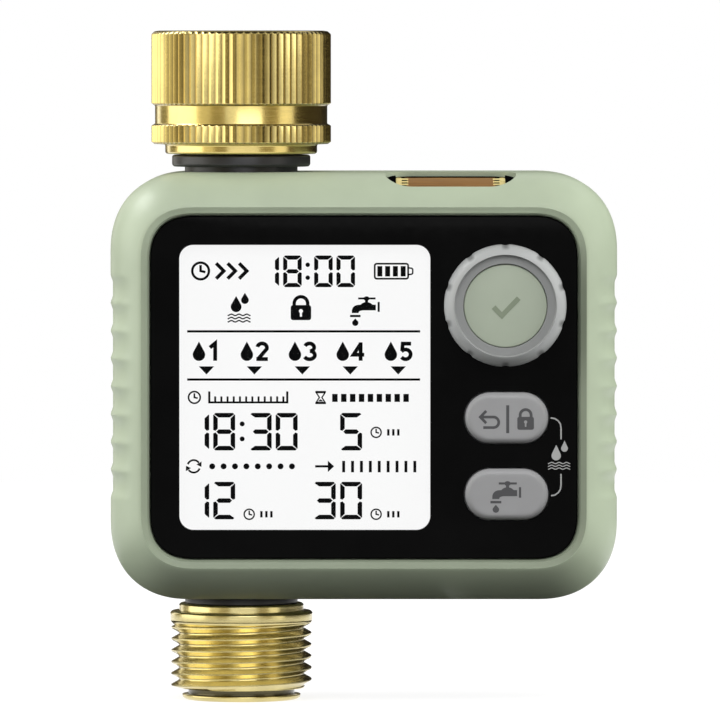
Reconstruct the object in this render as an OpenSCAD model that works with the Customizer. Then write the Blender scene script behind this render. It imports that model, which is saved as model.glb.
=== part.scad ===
// Drip irrigation timer for a garden tap: a threaded inlet nut on top, a motor-driven ball valve
// inside a rounded two-shell case, a display with keys on the front and a hose thread below.
// The inlet axis is the Z axis, the front faces -Y, and z = 0 is the mouth of the inlet thread.

/* [Case] */
// Width of the case across its front
case_w = 96.5; // [96:0.5:100]
// Height of the case without its fittings
case_h = 81.4; // [81:0.2:84]
// Distance from the inlet axis to the left side of the case
inlet_inset = 24.75; // [24.5:0.25:25.5]
// Distance from the inlet axis to the crest of the front rim
front_depth = 22; // [22:0.25:23]
// Distance from the inlet axis to the back of the case
back_depth = 24; // [24:0.25:25]
// Radius of the case corners seen from the front
corner_r = 14; // [13.5:0.25:15]
// Radius that rolls the sides over into the front rim
front_round_r = 13; // [12:0.25:13]
// Radius of the back edge
back_round_r = 8; // [7:0.5:9]
// Thickness of the case walls
wall = 2.2; // [2:0.1:2.4]
// Scallops in each side grip
scallop_count = 8; // [6:1:8]
// Distance from one grip ridge to the next
scallop_pitch = 5.3; // [5:0.1:5.4]
// Depth of a grip scallop
scallop_depth = 0.4; // [0.3:0.05:0.5]

/* [Front panel] */
// Width of the black front panel
fascia_w = 81.1; // [79.5:0.1:81.3]
// Height of the black front panel
fascia_h = 65.1; // [63.5:0.1:65.3]
// Corner radius of the front panel
fascia_r = 7.5; // [6:0.5:9]
// Thickness of the front panel
fascia_t = 1.4; // [1.2:0.1:1.6]
// Depth of the front panel below the rim crest
fascia_sink = 1.8; // [1.6:0.1:2]
// Width of the sloped bevel between rim and front panel
bevel_w = 1.5; // [1.2:0.1:1.8]
// Width of the display window
window_w = 47.5; // [44:0.1:48]
// Height of the display window
window_h = 54; // [50:0.1:54]
// Distance from the panel centre to the window centre, to the left
window_shift = 11.2; // [11:0.1:12]

/* [Controls] */
// Outer radius of the dial
dial_r = 11.6; // [11:0.1:12]
// Height of the dial above the front panel
dial_h = 4.6; // [4:0.1:5.5]
// Radius of the push cap in the dial
cap_r = 8; // [7.6:0.1:8.2]
// Finger notches round the dial
dial_notches = 10; // [8:1:14]
// Width of a pill key
key_w = 15.8; // [14:0.1:16]
// Height of a pill key
key_h = 9.7; // [9:0.1:10]
// Height of a key above the front panel
key_rise = 1.3; // [1:0.1:1.6]
// Travel of the cap and the keys
key_travel = 0.8; // [0.5:0.05:0.8]

/* [Inlet] */
// Outer radius of the inlet nut over its knurl
nut_r = 17.2; // [16.8:0.1:17.6]
// Ridges round the knurl
knurl_count = 76; // [60:4:80]
// Depth of the knurl grooves
knurl_depth = 0.4; // [0.35:0.05:0.6]
// Radius of the inlet thread's inner lands
inlet_r = 12.5; // [12.45:0.05:12.6]
// Length of the threaded inlet wall
inlet_len = 11.5; // [10.5:0.5:11.5]
// Thread pitch of inlet and outlet, 11.5 turns an inch
thread_pitch = 2.209; // [2.2:0.001:2.22]

/* [Outlet] */
// Crest radius of the hose thread
outlet_r = 13.495; // [13.4:0.005:13.5]
// Core radius of the hose thread
outlet_core_r = 11.9; // [11.7:0.05:12.1]
// Length of the hose thread
outlet_len = 11.5; // [11:0.5:12]

/* [Valve] */
// Radius of the ball
ball_r = 8.5; // [8.3:0.1:8.5]
// Radius of the water passage through the ball
ball_bore_r = 5.2; // [4.5:0.1:5.2]
// Teeth on the valve gear
gear_teeth = 36; // [36:12:36]
// Teeth on the motor pinion
pinion_teeth = 12; // [12:1:12]
// Gear module
gear_module = 0.75; // [0.75:0.05:0.75]

/* [Battery] */
// Radius of an AA cell
cell_r = 7.25; // [7:0.05:7.25]
// Length of an AA cell without its button
cell_len = 49.5; // [49:0.1:49.5]

/* [Hidden] */
$fn = 64;

// Colours
sage = [0.75, 0.79, 0.69];
brass_tone = [0.80, 0.66, 0.27];
black_tone = [0.10, 0.10, 0.11];
panel_tone = [0.05, 0.05, 0.05];
key_grey = [0.58, 0.58, 0.58];
cap_tone = [0.65, 0.69, 0.61];
cell_tone = [0.32, 0.34, 0.36];
lens_tone = [0.9, 0.95, 0.95, 0.35];
white_tone = [0.95, 0.95, 0.95];
steel_tone = [0.70, 0.71, 0.72];
board_green = [0.10, 0.35, 0.18];
copper_tone = [0.63, 0.45, 0.27];
rubber_tone = [0.16, 0.16, 0.17];

// Small distances used all over
gap = 0.2;
slip = 0.05;
over = 1;

// Levels of the inlet stack, from the mouth of the nut down to the case
mouth_h = 0.8;
knurl_bottom = mouth_h - 14.3;
band_top = knurl_bottom - 3.6;
band_bottom = band_top - 3.8;
nut_bottom = band_bottom - 1.9;
collar_bottom = nut_bottom - 2.1;
case_top = collar_bottom - 1.3;
case_bottom = case_top - case_h;
outlet_top = case_bottom - 1.3;
flange_top = outlet_top - 1.5;
thread_top = flange_top - 2.7;
thread_bottom = thread_top - outlet_len;
outlet_bottom = thread_bottom - 2.8;

// Case centre and the fillet that makes the rim
case_cx = case_w / 2 - inlet_inset;
case_cz = (case_top + case_bottom) / 2;
opening_w = fascia_w + 2 * bevel_w + 2 * gap;
rim_w = (case_w - opening_w) / 2;
crest_drop = front_round_r - sqrt(pow(front_round_r, 2) - pow(front_round_r - rim_w, 2));
front_reach = front_depth + crest_drop;
roll_start_y = front_round_r - front_reach;
arc_steps = 14;

// Levels behind the front panel, as Y places
fascia_front = -front_depth + fascia_sink;
fascia_back = fascia_front + fascia_t;
ledge_front = fascia_back + slip;
ledge_back = ledge_front + 1.7;
lcd_front = fascia_back + 0.1;
lcd_back = lcd_front + 3;
board_back = -11.8;
board_front = board_back - 1.6;
switch_top = board_front - 2.8;
plunger_tip = switch_top - 0.5;

// Places of the front items
fascia_c = [case_cx, case_cz];
window_c = fascia_c + [-window_shift, 0];
dial_c = fascia_c + [26.8, 15.6];
back_key_c = fascia_c + [27.1, -5.75];
tap_key_c = fascia_c + [27.1, -20.25];
lcd_size = [window_w + 3.9, window_h + 4.4];
hub_r = cap_r + 0.8;
dial_hole_r = hub_r + gap;
key_flange = 1.1;
key_clear = 0.25;

// Case screws: one in each corner
screw_xs = [-17.5, case_cx + case_w / 2 - 7.5];
screw_zs = [case_top - 10.6, case_bottom + 10.6];
screw_r = 1.5;
screw_head_r = 2.7;
screw_seat_y = 10;
screw_tip_y = -6;
screw_post_r = 3.2;
screw_sleeve_r = 4.2;

// Rain sensor in the top edge of the case
sensor_c = [40, -13.9, case_top - 1.8];
sensor_tilt = 10.4;
sensor_size = [21.3, 8.4, 1.2];
sensor_corner_r = 1.5;
pocket_size = [25, 10.2];
pocket_floor = -1.8;
pocket_wall = 1.5;
pocket_reach = 12;
lead_hole_x = 7;
lead_hole_r = 1;

// Battery bay in the back
bay_cx = 42;
cell_y = 12.2;
cell_step = 14.8;
bay_top = case_top - 14.3;
bay_bottom = bay_top - 52.6;
bay_w = 30;
bay_cz = (bay_top + bay_bottom) / 2;
box_wall = 1.2;
box_floor_y = cell_y - cell_r - 0.3;
pad_y = 19.6;
pad_side = 2.5;
pad_end = 1.5;
door_t = 1.95;
door_inner_y = back_depth - door_t;
door_x0 = bay_cx - 17.5;
door_x1 = bay_cx + 17.5;
door_bottom = bay_bottom - 7;
hinge_r = 1.6;
hinge_y = back_depth - hinge_r;
hinge_z = bay_top + 3.4;
door_top = hinge_z - 1.2;
relief_top = hinge_z + 2.3;
pin_r = 0.8;
door_screw_z = bay_bottom - 3.7;
door_post_r = 2.4;
plug_depth = 1.5;
plug_clear = 0.9;
plug_wall = 1.6;

// Valve train: the stem points backwards from the ball
stub_r = 10.8;
ball_z = case_cz + 5;
housing_r = 11.4;
chamber_r = 9.6;
chamber_top = ball_z + 9;
chamber_bottom = ball_z - 12;
passage_r = 6.5;
seat_gap = 0.1;
stem_r = 3;
boss_r = 6.2;
boss_y = 15;
gear_y = boss_y + 0.3;
gear_t = 4;
motor_x = gear_module * (gear_teeth + pinion_teeth) / 2 + 0.08;
bracket_y = 12.8;
bracket_t = 1.6;
motor_l = 12;
gearbox_l = 9;
shaft_r = 1.5;
flank_angle = 25;
backlash = 0.16;

// Cable routes, in millimetres, chosen by hand
wire_r = 0.55;
wire_sides = 8;
sensor_route = [
    [0, -13.43, -30.6], [0, -13.15, -32.1], [0, -12.4, -32.9], [0, -11, -33.4], [0, -10.1, -34.6],
    [0, -10.1, -36.8], [0, -10.5, -38.2], [0, -11.1, -38.4], [0, -11.78, -38.4]
];
motor_route = [
    [0, -8.4, -60.2], [0, -9.4, -59.8], [0, -10, -58.2], [0, -10, -55.4], [0, -10.5, -54],
    [0, -11.1, -53.6], [0, -11.78, -53.6]
];
battery_route = [
    [0, 8, -38.3], [0, 6.6, -37.4], [0, 3, -36.6], [0, -3, -36.6], [0, -8, -37], [0, -10.2, -37.8],
    [0, -11.1, -38], [0, -11.78, -38]
];

// Outlines

// Points of a rounded rectangle, centred
function round_rect_points(w, h, r, steps = 8) = [
    for (corner = [0 : 3])
        for (i = [0 : steps])
            let (
                a = 90 * corner + 90 * i / steps,
                cx = (corner == 0 || corner == 3) ? w / 2 - r : r - w / 2,
                cy = corner < 2 ? h / 2 - r : r - h / 2
            )
            [cx + r * cos(a), cy + r * sin(a)]
];

module round_rect(w, h, r, steps = 8) {
    polygon(round_rect_points(w, h, r, steps));
}

module pill(w, h) {
    polygon(round_rect_points(w, h, h / 2 - 0.01, 12));
}

// An outline drawn in X and Z, thickened from y0 to y1
module plate_y(y0, y1) {
    translate([0, y1, 0])
        rotate([90, 0, 0])
            linear_extrude(height = y1 - y0)
                children();
}

module rod_y(x, z, r, y0, y1) {
    translate([x, y0, z])
        rotate([-90, 0, 0])
            cylinder(h = y1 - y0, r = r);
}

module rod_z(r, z0, z1) {
    translate([0, 0, z0])
        cylinder(h = z1 - z0, r = r);
}

module rod_x(y, z, r, x0, x1) {
    translate([x0, y, z])
        rotate([0, 90, 0])
            cylinder(h = x1 - x0, r = r);
}

module box_between(low, high) {
    translate(low)
        cube(high - low);
}

module ring_z(outer_r, inner_r, z0, z1) {
    difference() {
        rod_z(outer_r, z0, z1);
        rod_z(inner_r, z0 - over, z1 + over);
    }
}

// A cable swept along points that share one X place
function heading(p, i) =
    let (d = p[min(i + 1, len(p) - 1)] - p[max(i - 1, 0)])
    d / norm(d);

module cable(route, x) {
    rings = [
        for (i = [0 : len(route) - 1])
            let (
                side = [1, 0, 0],
                up = cross(heading(route, i), side)
            )
            for (k = [0 : wire_sides - 1])
                let (a = 360 * k / wire_sides)
                route[i] + [x, 0, 0] + wire_r * (cos(a) * side + sin(a) * up)
    ];
    last = (len(route) - 1) * wire_sides;
    skin = [
        for (i = [0 : len(route) - 2])
            for (k = [0 : wire_sides - 1])
                let (
                    a = i * wire_sides + k,
                    b = i * wire_sides + (k + 1) % wire_sides
                )
                each [[a, b, b + wire_sides], [a, b + wire_sides, a + wire_sides]]
    ];
    caps = [
        for (k = [1 : wire_sides - 2])
            each [[0, k + 1, k], [last, last + k, last + k + 1]]
    ];
    polyhedron(points = rings, faces = concat(skin, caps), convexity = 4);
}

// Case shape

// A solid that stands on a rounded rectangle and follows a profile of [spread, height] points
module moulded(w, h, r, profile) {
    run_x = w / 2 - r;
    run_y = h / 2 - r;
    foot = profile[0][1];
    top = profile[len(profile) - 1][1];
    rotate([90, 0, 0])
        translate([0, 0, -run_y])
            linear_extrude(height = 2 * run_y)
                polygon(both_sides(w / 2, profile));
    rotate([90, 0, 90])
        translate([0, 0, -run_x])
            linear_extrude(height = 2 * run_x)
                polygon(both_sides(h / 2, profile));
    for (quarter = [0 : 3])
        translate([
            (quarter == 0 || quarter == 3) ? run_x : -run_x,
            quarter < 2 ? run_y : -run_y,
            0
        ])
            rotate([0, 0, 90 * quarter])
                rotate_extrude(angle = 90)
                    polygon(concat([[0, foot]], [for (p = profile) [r + p[0], p[1]]], [[0, top]]));
}

function both_sides(reach, profile) = concat(
    [for (p = profile) [reach + p[0], p[1]]],
    [for (i = [len(profile) - 1 : -1 : 0]) [-reach - profile[i][0], profile[i][1]]]
);

// Thousandths, so that faces built apart meet in the same points
function snap(v) = round(1000 * v) / 1000;

// Profile of half a case: an upright wall, then an arc that rolls it over, all drawn in by inset
function rolled_edge(height, edge_r, inset) = concat(
    [[-inset, 0]],
    [
        for (i = [0 : arc_steps])
            let (
                a = 90 * i / arc_steps,
                r = edge_r - inset
            )
            [snap(r * cos(a) - r - inset), snap(height - inset - r + r * sin(a))]
    ]
);

module front_half(inset) {
    translate([case_cx, 0, case_cz])
        rotate([90, 0, 0])
            moulded(case_w, case_h, corner_r, rolled_edge(front_reach, front_round_r, inset));
}

module rear_half(inset) {
    translate([case_cx, 0, case_cz])
        mirror([0, 1, 0])
            rotate([90, 0, 0])
                moulded(case_w, case_h, corner_r, rolled_edge(back_depth, back_round_r, inset));
}

// Grip scallops down both sides; past the roll they lean in with the rim until they run out
scallop_r = 6;
scallop_lean = 14;
scallop_turn_y = roll_start_y - 1.5;
module grip_scallops() {
    first_z = case_cz - scallop_pitch * (scallop_count - 1) / 2;
    for (i = [0 : scallop_count - 1])
        for (side = [-1, 1])
            translate([
                case_cx + side * (case_w / 2 + scallop_r - scallop_depth),
                0,
                first_z + i * scallop_pitch
            ]) {
                rod_y(0, 0, scallop_r, scallop_turn_y, back_depth - 2);
                translate([0, scallop_turn_y + 0.2, 0])
                    rotate([0, 0, -side * scallop_lean])
                        rod_y(0, 0, scallop_r, -10, 0);
            }
}

module at_case_screws() {
    for (x = screw_xs)
        for (z = screw_zs)
            translate([x, 0, z])
                children();
}

// A shape drawn flat, laid in the sloping rain sensor pocket
module at_sensor() {
    translate(sensor_c)
        rotate([sensor_tilt, 0, 0])
            children();
}

// Sloped bevel cut that leads from the rim crest down to the front panel
module bevel_cut() {
    rise = front_reach - front_depth + fascia_sink + 0.5;
    translate([fascia_c[0], fascia_front, fascia_c[1]])
        rotate([90, 0, 0])
            moulded(
                fascia_w + 2 * gap,
                fascia_h + 2 * gap,
                fascia_r + gap,
                [[0, 0], [snap(rise * bevel_w / fascia_sink), snap(rise)]]
            );
}

// Holes for the dial and the two keys, in the panel and in the ledge behind it
module control_holes(y0, y1) {
    rod_y(dial_c[0], dial_c[1], dial_hole_r, y0, y1);
    for (c = [back_key_c, tap_key_c])
        plate_y(y0, y1)
            translate(c)
                pill(key_w + 2 * key_clear, key_h + 2 * key_clear);
}

module pipe_holes() {
    rod_z(stub_r + 0.3, case_top - wall - over, case_top + over);
    rod_z(stub_r + 0.3, case_bottom - over, case_bottom + wall + over);
}

module front_shell() {
    color(sage)
        difference() {
            union() {
                difference() {
                    front_half(0);
                    intersection() {
                        front_half(wall);
                        box_between(
                            [case_cx - case_w, ledge_back, case_bottom],
                            [case_cx + case_w, over, case_top]
                        );
                    }
                }
                at_case_screws()
                    rod_y(0, 0, screw_post_r, ledge_back - 0.5, 0);
                intersection() {
                    front_half(0);
                    at_sensor()
                        translate([0, 0, pocket_floor - pocket_wall])
                            linear_extrude(height = pocket_reach)
                                pill(pocket_size[0] + 2 * pocket_wall, pocket_size[1] + 2 * pocket_wall);
                }
            }
            bevel_cut();
            plate_y(fascia_front - slip, ledge_front)
                translate(fascia_c)
                    round_rect(fascia_w + 2 * gap, fascia_h + 2 * gap, fascia_r + gap);
            plate_y(ledge_front - over, ledge_back + over)
                translate(window_c)
                    square(lcd_size + [0.4, 0.4], center = true);
            control_holes(ledge_front - over, ledge_back + over);
            pipe_holes();
            at_case_screws()
                rod_y(0, 0, screw_r, screw_tip_y - 1.5, over);
            at_sensor() {
                translate([0, 0, pocket_floor])
                    linear_extrude(height = pocket_reach)
                        pill(pocket_size[0], pocket_size[1]);
                for (side = [-1, 1])
                    translate([side * lead_hole_x, 0, -8])
                        cylinder(h = 8, r = lead_hole_r);
            }
            grip_scallops();
        }
}

// Rounded frame that the case seal lies in, open where the pipe stubs pass
seal_w = 0.8;
seal_depth = 0.7;
module seal_track() {
    outer = 2 * seal_w;
    inner = 4 * seal_w;
    stub_room = stub_r + 0.7;
    difference() {
        translate([case_cx, case_cz]) {
            difference() {
                round_rect(case_w - outer, case_h - outer, corner_r - outer / 2);
                round_rect(case_w - inner, case_h - inner, corner_r - inner / 2);
            }
        }
        translate([-stub_room, case_bottom - over])
            square([2 * stub_room, case_h + 2 * over]);
    }
}

module rear_shell() {
    color(sage)
        difference() {
            union() {
                difference() {
                    rear_half(0);
                    intersection() {
                        rear_half(wall);
                        box_between(
                            [case_cx - case_w, -over, case_bottom],
                            [case_cx + case_w, back_depth, case_top]
                        );
                    }
                }
                intersection() {
                    rear_half(0);
                    at_case_screws()
                        rod_y(0, 0, screw_sleeve_r, 0, back_depth + over);
                }
                box_between(
                    [door_x0 - pad_side, pad_y, door_bottom - pad_end],
                    [door_x1 + pad_side, back_depth - 1, relief_top + pad_end]
                );
                rod_y(bay_cx, door_screw_z, door_post_r, pad_y - 3.5, pad_y + 1);
            }
            box_between(
                [door_x0 - gap, door_inner_y - slip, door_bottom - gap],
                [door_x1 + gap, back_depth + over, relief_top]
            );
            box_between(
                [door_x0 - gap, hinge_y - hinge_r - 0.3, hinge_z - hinge_r - 0.3],
                [door_x1 + gap, back_depth + over, relief_top]
            );
            box_between(
                [bay_cx - bay_w / 2, pad_y - over, bay_bottom],
                [bay_cx + bay_w / 2, back_depth + over, bay_top]
            );
            rod_x(hinge_y, hinge_z, pin_r + 0.02, door_x0 - 1.6, door_x1 + 1.6);
            rod_y(bay_cx, door_screw_z, 1.8, pad_y - 4.5, back_depth);
            at_case_screws() {
                rod_y(0, 0, screw_r + 0.2, -over, back_depth);
                rod_y(0, 0, screw_head_r + 0.3, screw_seat_y, back_depth + over);
            }
            pipe_holes();
            plate_y(-over, seal_depth)
                seal_track();
            grip_scallops();
        }
}

module case_seal() {
    color(rubber_tone)
        plate_y(0.02, seal_depth - 0.02)
            seal_track();
}

// Pan-head screw along Y: the head sits at the back end
module pan_screw(head_r, head_h, shank_r, length) {
    arm = 0.6 * head_r;
    half_slot = 0.13 * head_r;
    recess_floor = 0.45 * head_h;
    difference() {
        union() {
            rod_y(0, 0, head_r, 0, head_h);
            rod_y(0, 0, shank_r, -length, 0.1);
        }
        for (turn = [0, 90])
            rotate([0, turn, 0])
                box_between(
                    [-arm, recess_floor, -half_slot],
                    [arm, head_h + over, half_slot]
                );
    }
}

module case_screws() {
    color(steel_tone)
        at_case_screws()
            translate([0, screw_seat_y, 0])
                pan_screw(screw_head_r, 2, screw_r - 0.02, screw_seat_y - screw_tip_y);
}

// Front panel and display

module fascia_panel() {
    color(panel_tone)
        difference() {
            plate_y(fascia_front, fascia_back)
                translate(fascia_c)
                    round_rect(fascia_w, fascia_h, fascia_r);
            plate_y(fascia_front - over, fascia_back + over)
                translate(window_c)
                    round_rect(window_w + 0.1, window_h + 0.1, 2.65);
            control_holes(fascia_front - over, fascia_back + over);
        }
}

module display_lens() {
    color(lens_tone)
        plate_y(fascia_front, fascia_back)
            translate(window_c)
                round_rect(window_w, window_h, 2.6);
}

module lcd_module() {
    color(white_tone)
        plate_y(lcd_front, lcd_back)
            translate(window_c)
                square(lcd_size, center = true);
}

module lcd_holder() {
    color(white_tone)
        plate_y(lcd_back + slip, board_front - slip)
            translate(window_c)
                difference() {
                    square(lcd_size + [1, 1], center = true);
                    square(lcd_size - [5, 9], center = true);
                }
}

module contact_strips() {
    color(rubber_tone)
        plate_y(lcd_back + slip, board_front - slip)
            for (side = [-1, 1])
                translate(window_c + [0, side * (lcd_size[1] / 2 - 6)])
                    square([lcd_size[0] - 8, 2], center = true);
}

// Dial and keys

// Dial section, as reach from the dial axis against depth behind its front face
dial_slope_r = 9.7;
notch_r = 1.4;
notch_out = 0.9;
hub_end = ledge_back + 1.05 - fascia_front + dial_h;
module dial_ring() {
    bore = cap_r + 0.1;
    color(key_grey)
        difference() {
            translate([dial_c[0], fascia_front - dial_h, dial_c[1]])
                rotate([-90, 0, 0])
                    rotate_extrude()
                        polygon([
                            [bore, 1.5], [dial_slope_r, 0.25], [dial_slope_r + 0.35, 0],
                            [dial_r - 1, 0], [dial_r - 0.3, 0.3], [dial_r, 1], [dial_r, dial_h - 0.2],
                            [hub_r, dial_h - 0.2], [hub_r, hub_end], [bore, hub_end]
                        ]);
            for (i = [0 : dial_notches - 1])
                translate([dial_c[0], 0, dial_c[1]])
                    rotate([0, 360 * i / dial_notches, 0])
                        rod_y(
                            0, dial_r + notch_out, notch_r,
                            fascia_front - dial_h - over, fascia_front - 1.4
                        );
        }
}

// Ring behind the ledge that holds the dial; the slots round it are read by the dial sensors
clip_slots = 20;
module dial_clip() {
    slot_half = 0.45;
    color(steel_tone)
        difference() {
            rod_y(dial_c[0], dial_c[1], hub_r + 1.4, ledge_back + 0.1, ledge_back + 1);
            rod_y(dial_c[0], dial_c[1], hub_r + 0.02, ledge_back - over, ledge_back + 2);
            for (i = [0 : clip_slots - 1])
                translate([dial_c[0], 0, dial_c[1]])
                    rotate([0, 360 * i / clip_slots, 0])
                        box_between(
                            [-slot_half, ledge_back - over, hub_r + 0.7],
                            [slot_half, ledge_back + 2, hub_r + 3]
                        );
        }
}

cap_front = fascia_front - dial_h + 0.9;
cap_lip = fascia_front - dial_h + hub_end + 0.35 - cap_front;
cap_post_r = 1.8;
module ok_cap() {
    side_r = cap_r - 0.1;
    inner_r = cap_r - 1.2;
    roof = 1.6;
    lip_r = cap_r + 0.5;
    lip_h = 0.7;
    post_end = plunger_tip - key_travel - slip - cap_front;
    color(cap_tone)
        translate([dial_c[0], cap_front, dial_c[1]])
            rotate([-90, 0, 0])
                rotate_extrude()
                    polygon([
                        [0, 0], [inner_r, 0.12], [cap_r - 0.4, 0.35], [side_r, 0.8],
                        [side_r, cap_lip], [lip_r, cap_lip], [lip_r, cap_lip + lip_h],
                        [inner_r, cap_lip + lip_h], [inner_r, roof], [cap_post_r, roof],
                        [cap_post_r, post_end], [0, post_end]
                    ]);
}

// Pill key: a domed cap, a retaining flange behind the ledge and a post over its switch
module pill_key(c) {
    key_front = fascia_front - key_rise;
    hollow_y = key_front + 2.2;
    color(key_grey)
        difference() {
            union() {
                plate_y(key_front, key_front + 0.35)
                    translate(c)
                        pill(key_w - 1.2, key_h - 1.2);
                plate_y(key_front + 0.3, key_front + 0.75)
                    translate(c)
                        pill(key_w - 0.5, key_h - 0.5);
                plate_y(key_front + 0.7, ledge_back + 0.3)
                    translate(c)
                        pill(key_w, key_h);
                plate_y(ledge_back + 0.1, ledge_back + 0.8)
                    translate(c)
                        pill(key_w + 2 * key_flange, key_h + 2 * key_flange);
            }
            difference() {
                plate_y(hollow_y, ledge_back + 2)
                    translate(c)
                        pill(key_w - 2.4, key_h - 2.4);
                rod_y(c[0], c[1], 1.5, hollow_y - over, plunger_tip - key_travel - slip);
            }
        }
}

module back_key() {
    pill_key(back_key_c);
}

module tap_key() {
    pill_key(tap_key_c);
}

// Electronics

board_x0 = -12.6;
board_x1 = screw_xs[1] - 4;
board_z0 = case_bottom + 8;
board_z1 = case_top - 8;
board_hole_in = 2.5;
// Chips on the back of the board, each as [x, width, z above the case centre, height, thickness]
board_chips = [[28, 10, -6, 10, 1.5], [42, 5, -20, 4, 1.2], [44, 8, 8, 3, 2.6]];
module main_board() {
    color(board_green) {
        difference() {
            box_between([board_x0, board_front, board_z0], [board_x1, board_back, board_z1]);
            for (x = [board_x0 + board_hole_in, board_x1 - board_hole_in])
                for (z = [board_z0 + board_hole_in, board_z1 - board_hole_in])
                    rod_y(x, z, 1.2, board_front - over, board_back + over);
        }
        for (chip = board_chips)
            box_between(
                [chip[0], board_back - 0.2, case_cz + chip[2]],
                [chip[0] + chip[1], board_back + chip[4], case_cz + chip[2] + chip[3]]
            );
    }
}

module tact_switches() {
    half = 3;
    plunger_r = 1.7;
    color(black_tone)
        for (c = [dial_c, back_key_c, tap_key_c]) {
            box_between(
                [c[0] - half, switch_top, c[1] - half],
                [c[0] + half, board_front - 0.01, c[1] + half]
            );
            rod_y(c[0], c[1], plunger_r, plunger_tip, switch_top + 0.1);
        }
}

module dial_sensor() {
    color(black_tone)
        for (turn = [0, 40])
            translate([dial_c[0], 0, dial_c[1]])
                rotate([0, turn, 0])
                    box_between([-1.6, board_front - 1.6, 9.4], [1.6, board_front - 0.01, 11.4]);
}

module rain_sensor_board() {
    color(copper_tone)
        at_sensor()
            translate([0, 0, -sensor_size[2]])
                linear_extrude(height = sensor_size[2])
                    round_rect(sensor_size[0], sensor_size[1], sensor_corner_r);
}

module sensor_seal() {
    color(rubber_tone)
        at_sensor()
            translate([0, 0, pocket_floor + 0.02])
                linear_extrude(height = -pocket_floor - sensor_size[2] - 0.04)
                    difference() {
                        round_rect(sensor_size[0], sensor_size[1], sensor_corner_r);
                        square([sensor_size[0] - 3.6, sensor_size[1] - 3.6], center = true);
                    }
}

module sensor_leads() {
    color(copper_tone)
        for (side = [-1, 1])
            cable(sensor_route, sensor_c[0] + side * lead_hole_x);
}

module motor_leads() {
    color(copper_tone)
        for (side = [-1, 1])
            cable(motor_route, motor_x + side * 2.5);
}

module battery_leads() {
    color(copper_tone)
        for (side = [-1, 1])
            cable(battery_route, bay_cx + side * 11);
}

// Battery bay

module battery_box() {
    low = [bay_cx - bay_w / 2, box_floor_y, bay_bottom];
    high = [bay_cx + bay_w / 2, pad_y - slip, bay_top];
    color(black_tone)
        difference() {
            box_between(low - box_wall * [1, 1, 1], high + box_wall * [1, 0, 1]);
            box_between(low, high + [0, over, 0]);
        }
}

module battery_cells() {
    color(cell_tone)
        for (side = [-1, 1])
            translate([bay_cx + side * cell_step / 2, cell_y, bay_cz])
                mirror([0, 0, side < 0 ? 1 : 0]) {
                    rod_z(cell_r, -cell_len / 2 - 0.4, cell_len / 2 - 0.4);
                    rod_z(2.7, cell_len / 2 - 0.5, cell_len / 2 + 0.6);
                }
}

// Leaf contacts at both ends of the bay, one bridging the cells at the bottom
module battery_contacts() {
    color(steel_tone) {
        for (side = [-1, 1])
            translate([bay_cx + side * cell_step / 2, cell_y, bay_top])
                box_between([-5, -5, -0.45], [5, 5, -0.03]);
        translate([bay_cx, cell_y, bay_bottom])
            box_between([-12, -5, 0.03], [12, 5, 0.45]);
    }
}

// Mouth of the battery bay, drawn in by inset on every side
module bay_outline(inset) {
    translate([bay_cx, bay_cz])
        square([bay_w - 2 * inset, bay_top - bay_bottom - 2 * inset], center = true);
}

door_grooves = 5;
door_groove_pitch = 1.8;
door_groove_w = 0.8;
module battery_door() {
    groove_half = 8;
    groove_z = door_bottom + 9;
    color(sage)
        difference() {
            union() {
                box_between([door_x0, door_inner_y, door_bottom], [door_x1, back_depth, door_top]);
                rod_x(hinge_y, hinge_z, hinge_r, door_x0, door_x1);
                difference() {
                    plate_y(door_inner_y - plug_depth, door_inner_y + 0.3)
                        bay_outline(plug_clear);
                    plate_y(door_inner_y - plug_depth - over, door_inner_y)
                        bay_outline(plug_clear + plug_wall);
                }
                box_between([door_x0, hinge_y - 0.8, door_top - 0.2], [door_x1, hinge_y + hinge_r, hinge_z]);
            }
            rod_x(hinge_y, hinge_z, pin_r + 0.05, door_x0 - over, door_x1 + over);
            rod_y(bay_cx, door_screw_z, 1.35, door_inner_y - 3, back_depth);
            rod_y(bay_cx, door_screw_z, 2.6, door_inner_y + 0.75, back_depth + over);
            for (i = [0 : door_grooves - 1])
                translate([bay_cx, back_depth, groove_z + door_groove_pitch * i])
                    box_between([-groove_half, -0.5, 0], [groove_half, over, door_groove_w]);
        }
}

module door_seal() {
    color(rubber_tone)
        plate_y(door_inner_y - plug_depth + 0.1, door_inner_y - 0.1)
            difference() {
                bay_outline(0.22);
                bay_outline(plug_clear - 0.02);
            }
}

module door_hinge_pin() {
    color(steel_tone)
        rod_x(hinge_y, hinge_z, pin_r, door_x0 - 1.5, door_x1 + 1.5);
}

module door_screw() {
    color(steel_tone)
        translate([bay_cx, door_inner_y + 0.77, door_screw_z])
            pan_screw(2.4, 1.1, 1.3, 5.5);
}

// Inlet coupling

// Prism with V ridges round it
module knurl_band(z0, z1) {
    outline = [
        for (i = [0 : 2 * knurl_count - 1])
            let (
                r = i % 2 == 0 ? nut_r : nut_r - knurl_depth,
                a = 180 * i / knurl_count
            )
            [r * cos(a), r * sin(a)]
    ];
    edge = knurl_depth;
    intersection() {
        translate([0, 0, z0])
            linear_extrude(height = z1 - z0)
                polygon(outline);
        rotate_extrude()
            polygon([
                [0, z0], [nut_r - 1.2 * edge, z0], [nut_r + 0.3, z0 + 1.5 * edge],
                [nut_r + 0.3, z1 - 1.5 * edge], [nut_r - 1.2 * edge, z1], [0, z1]
            ]);
    }
}

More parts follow.
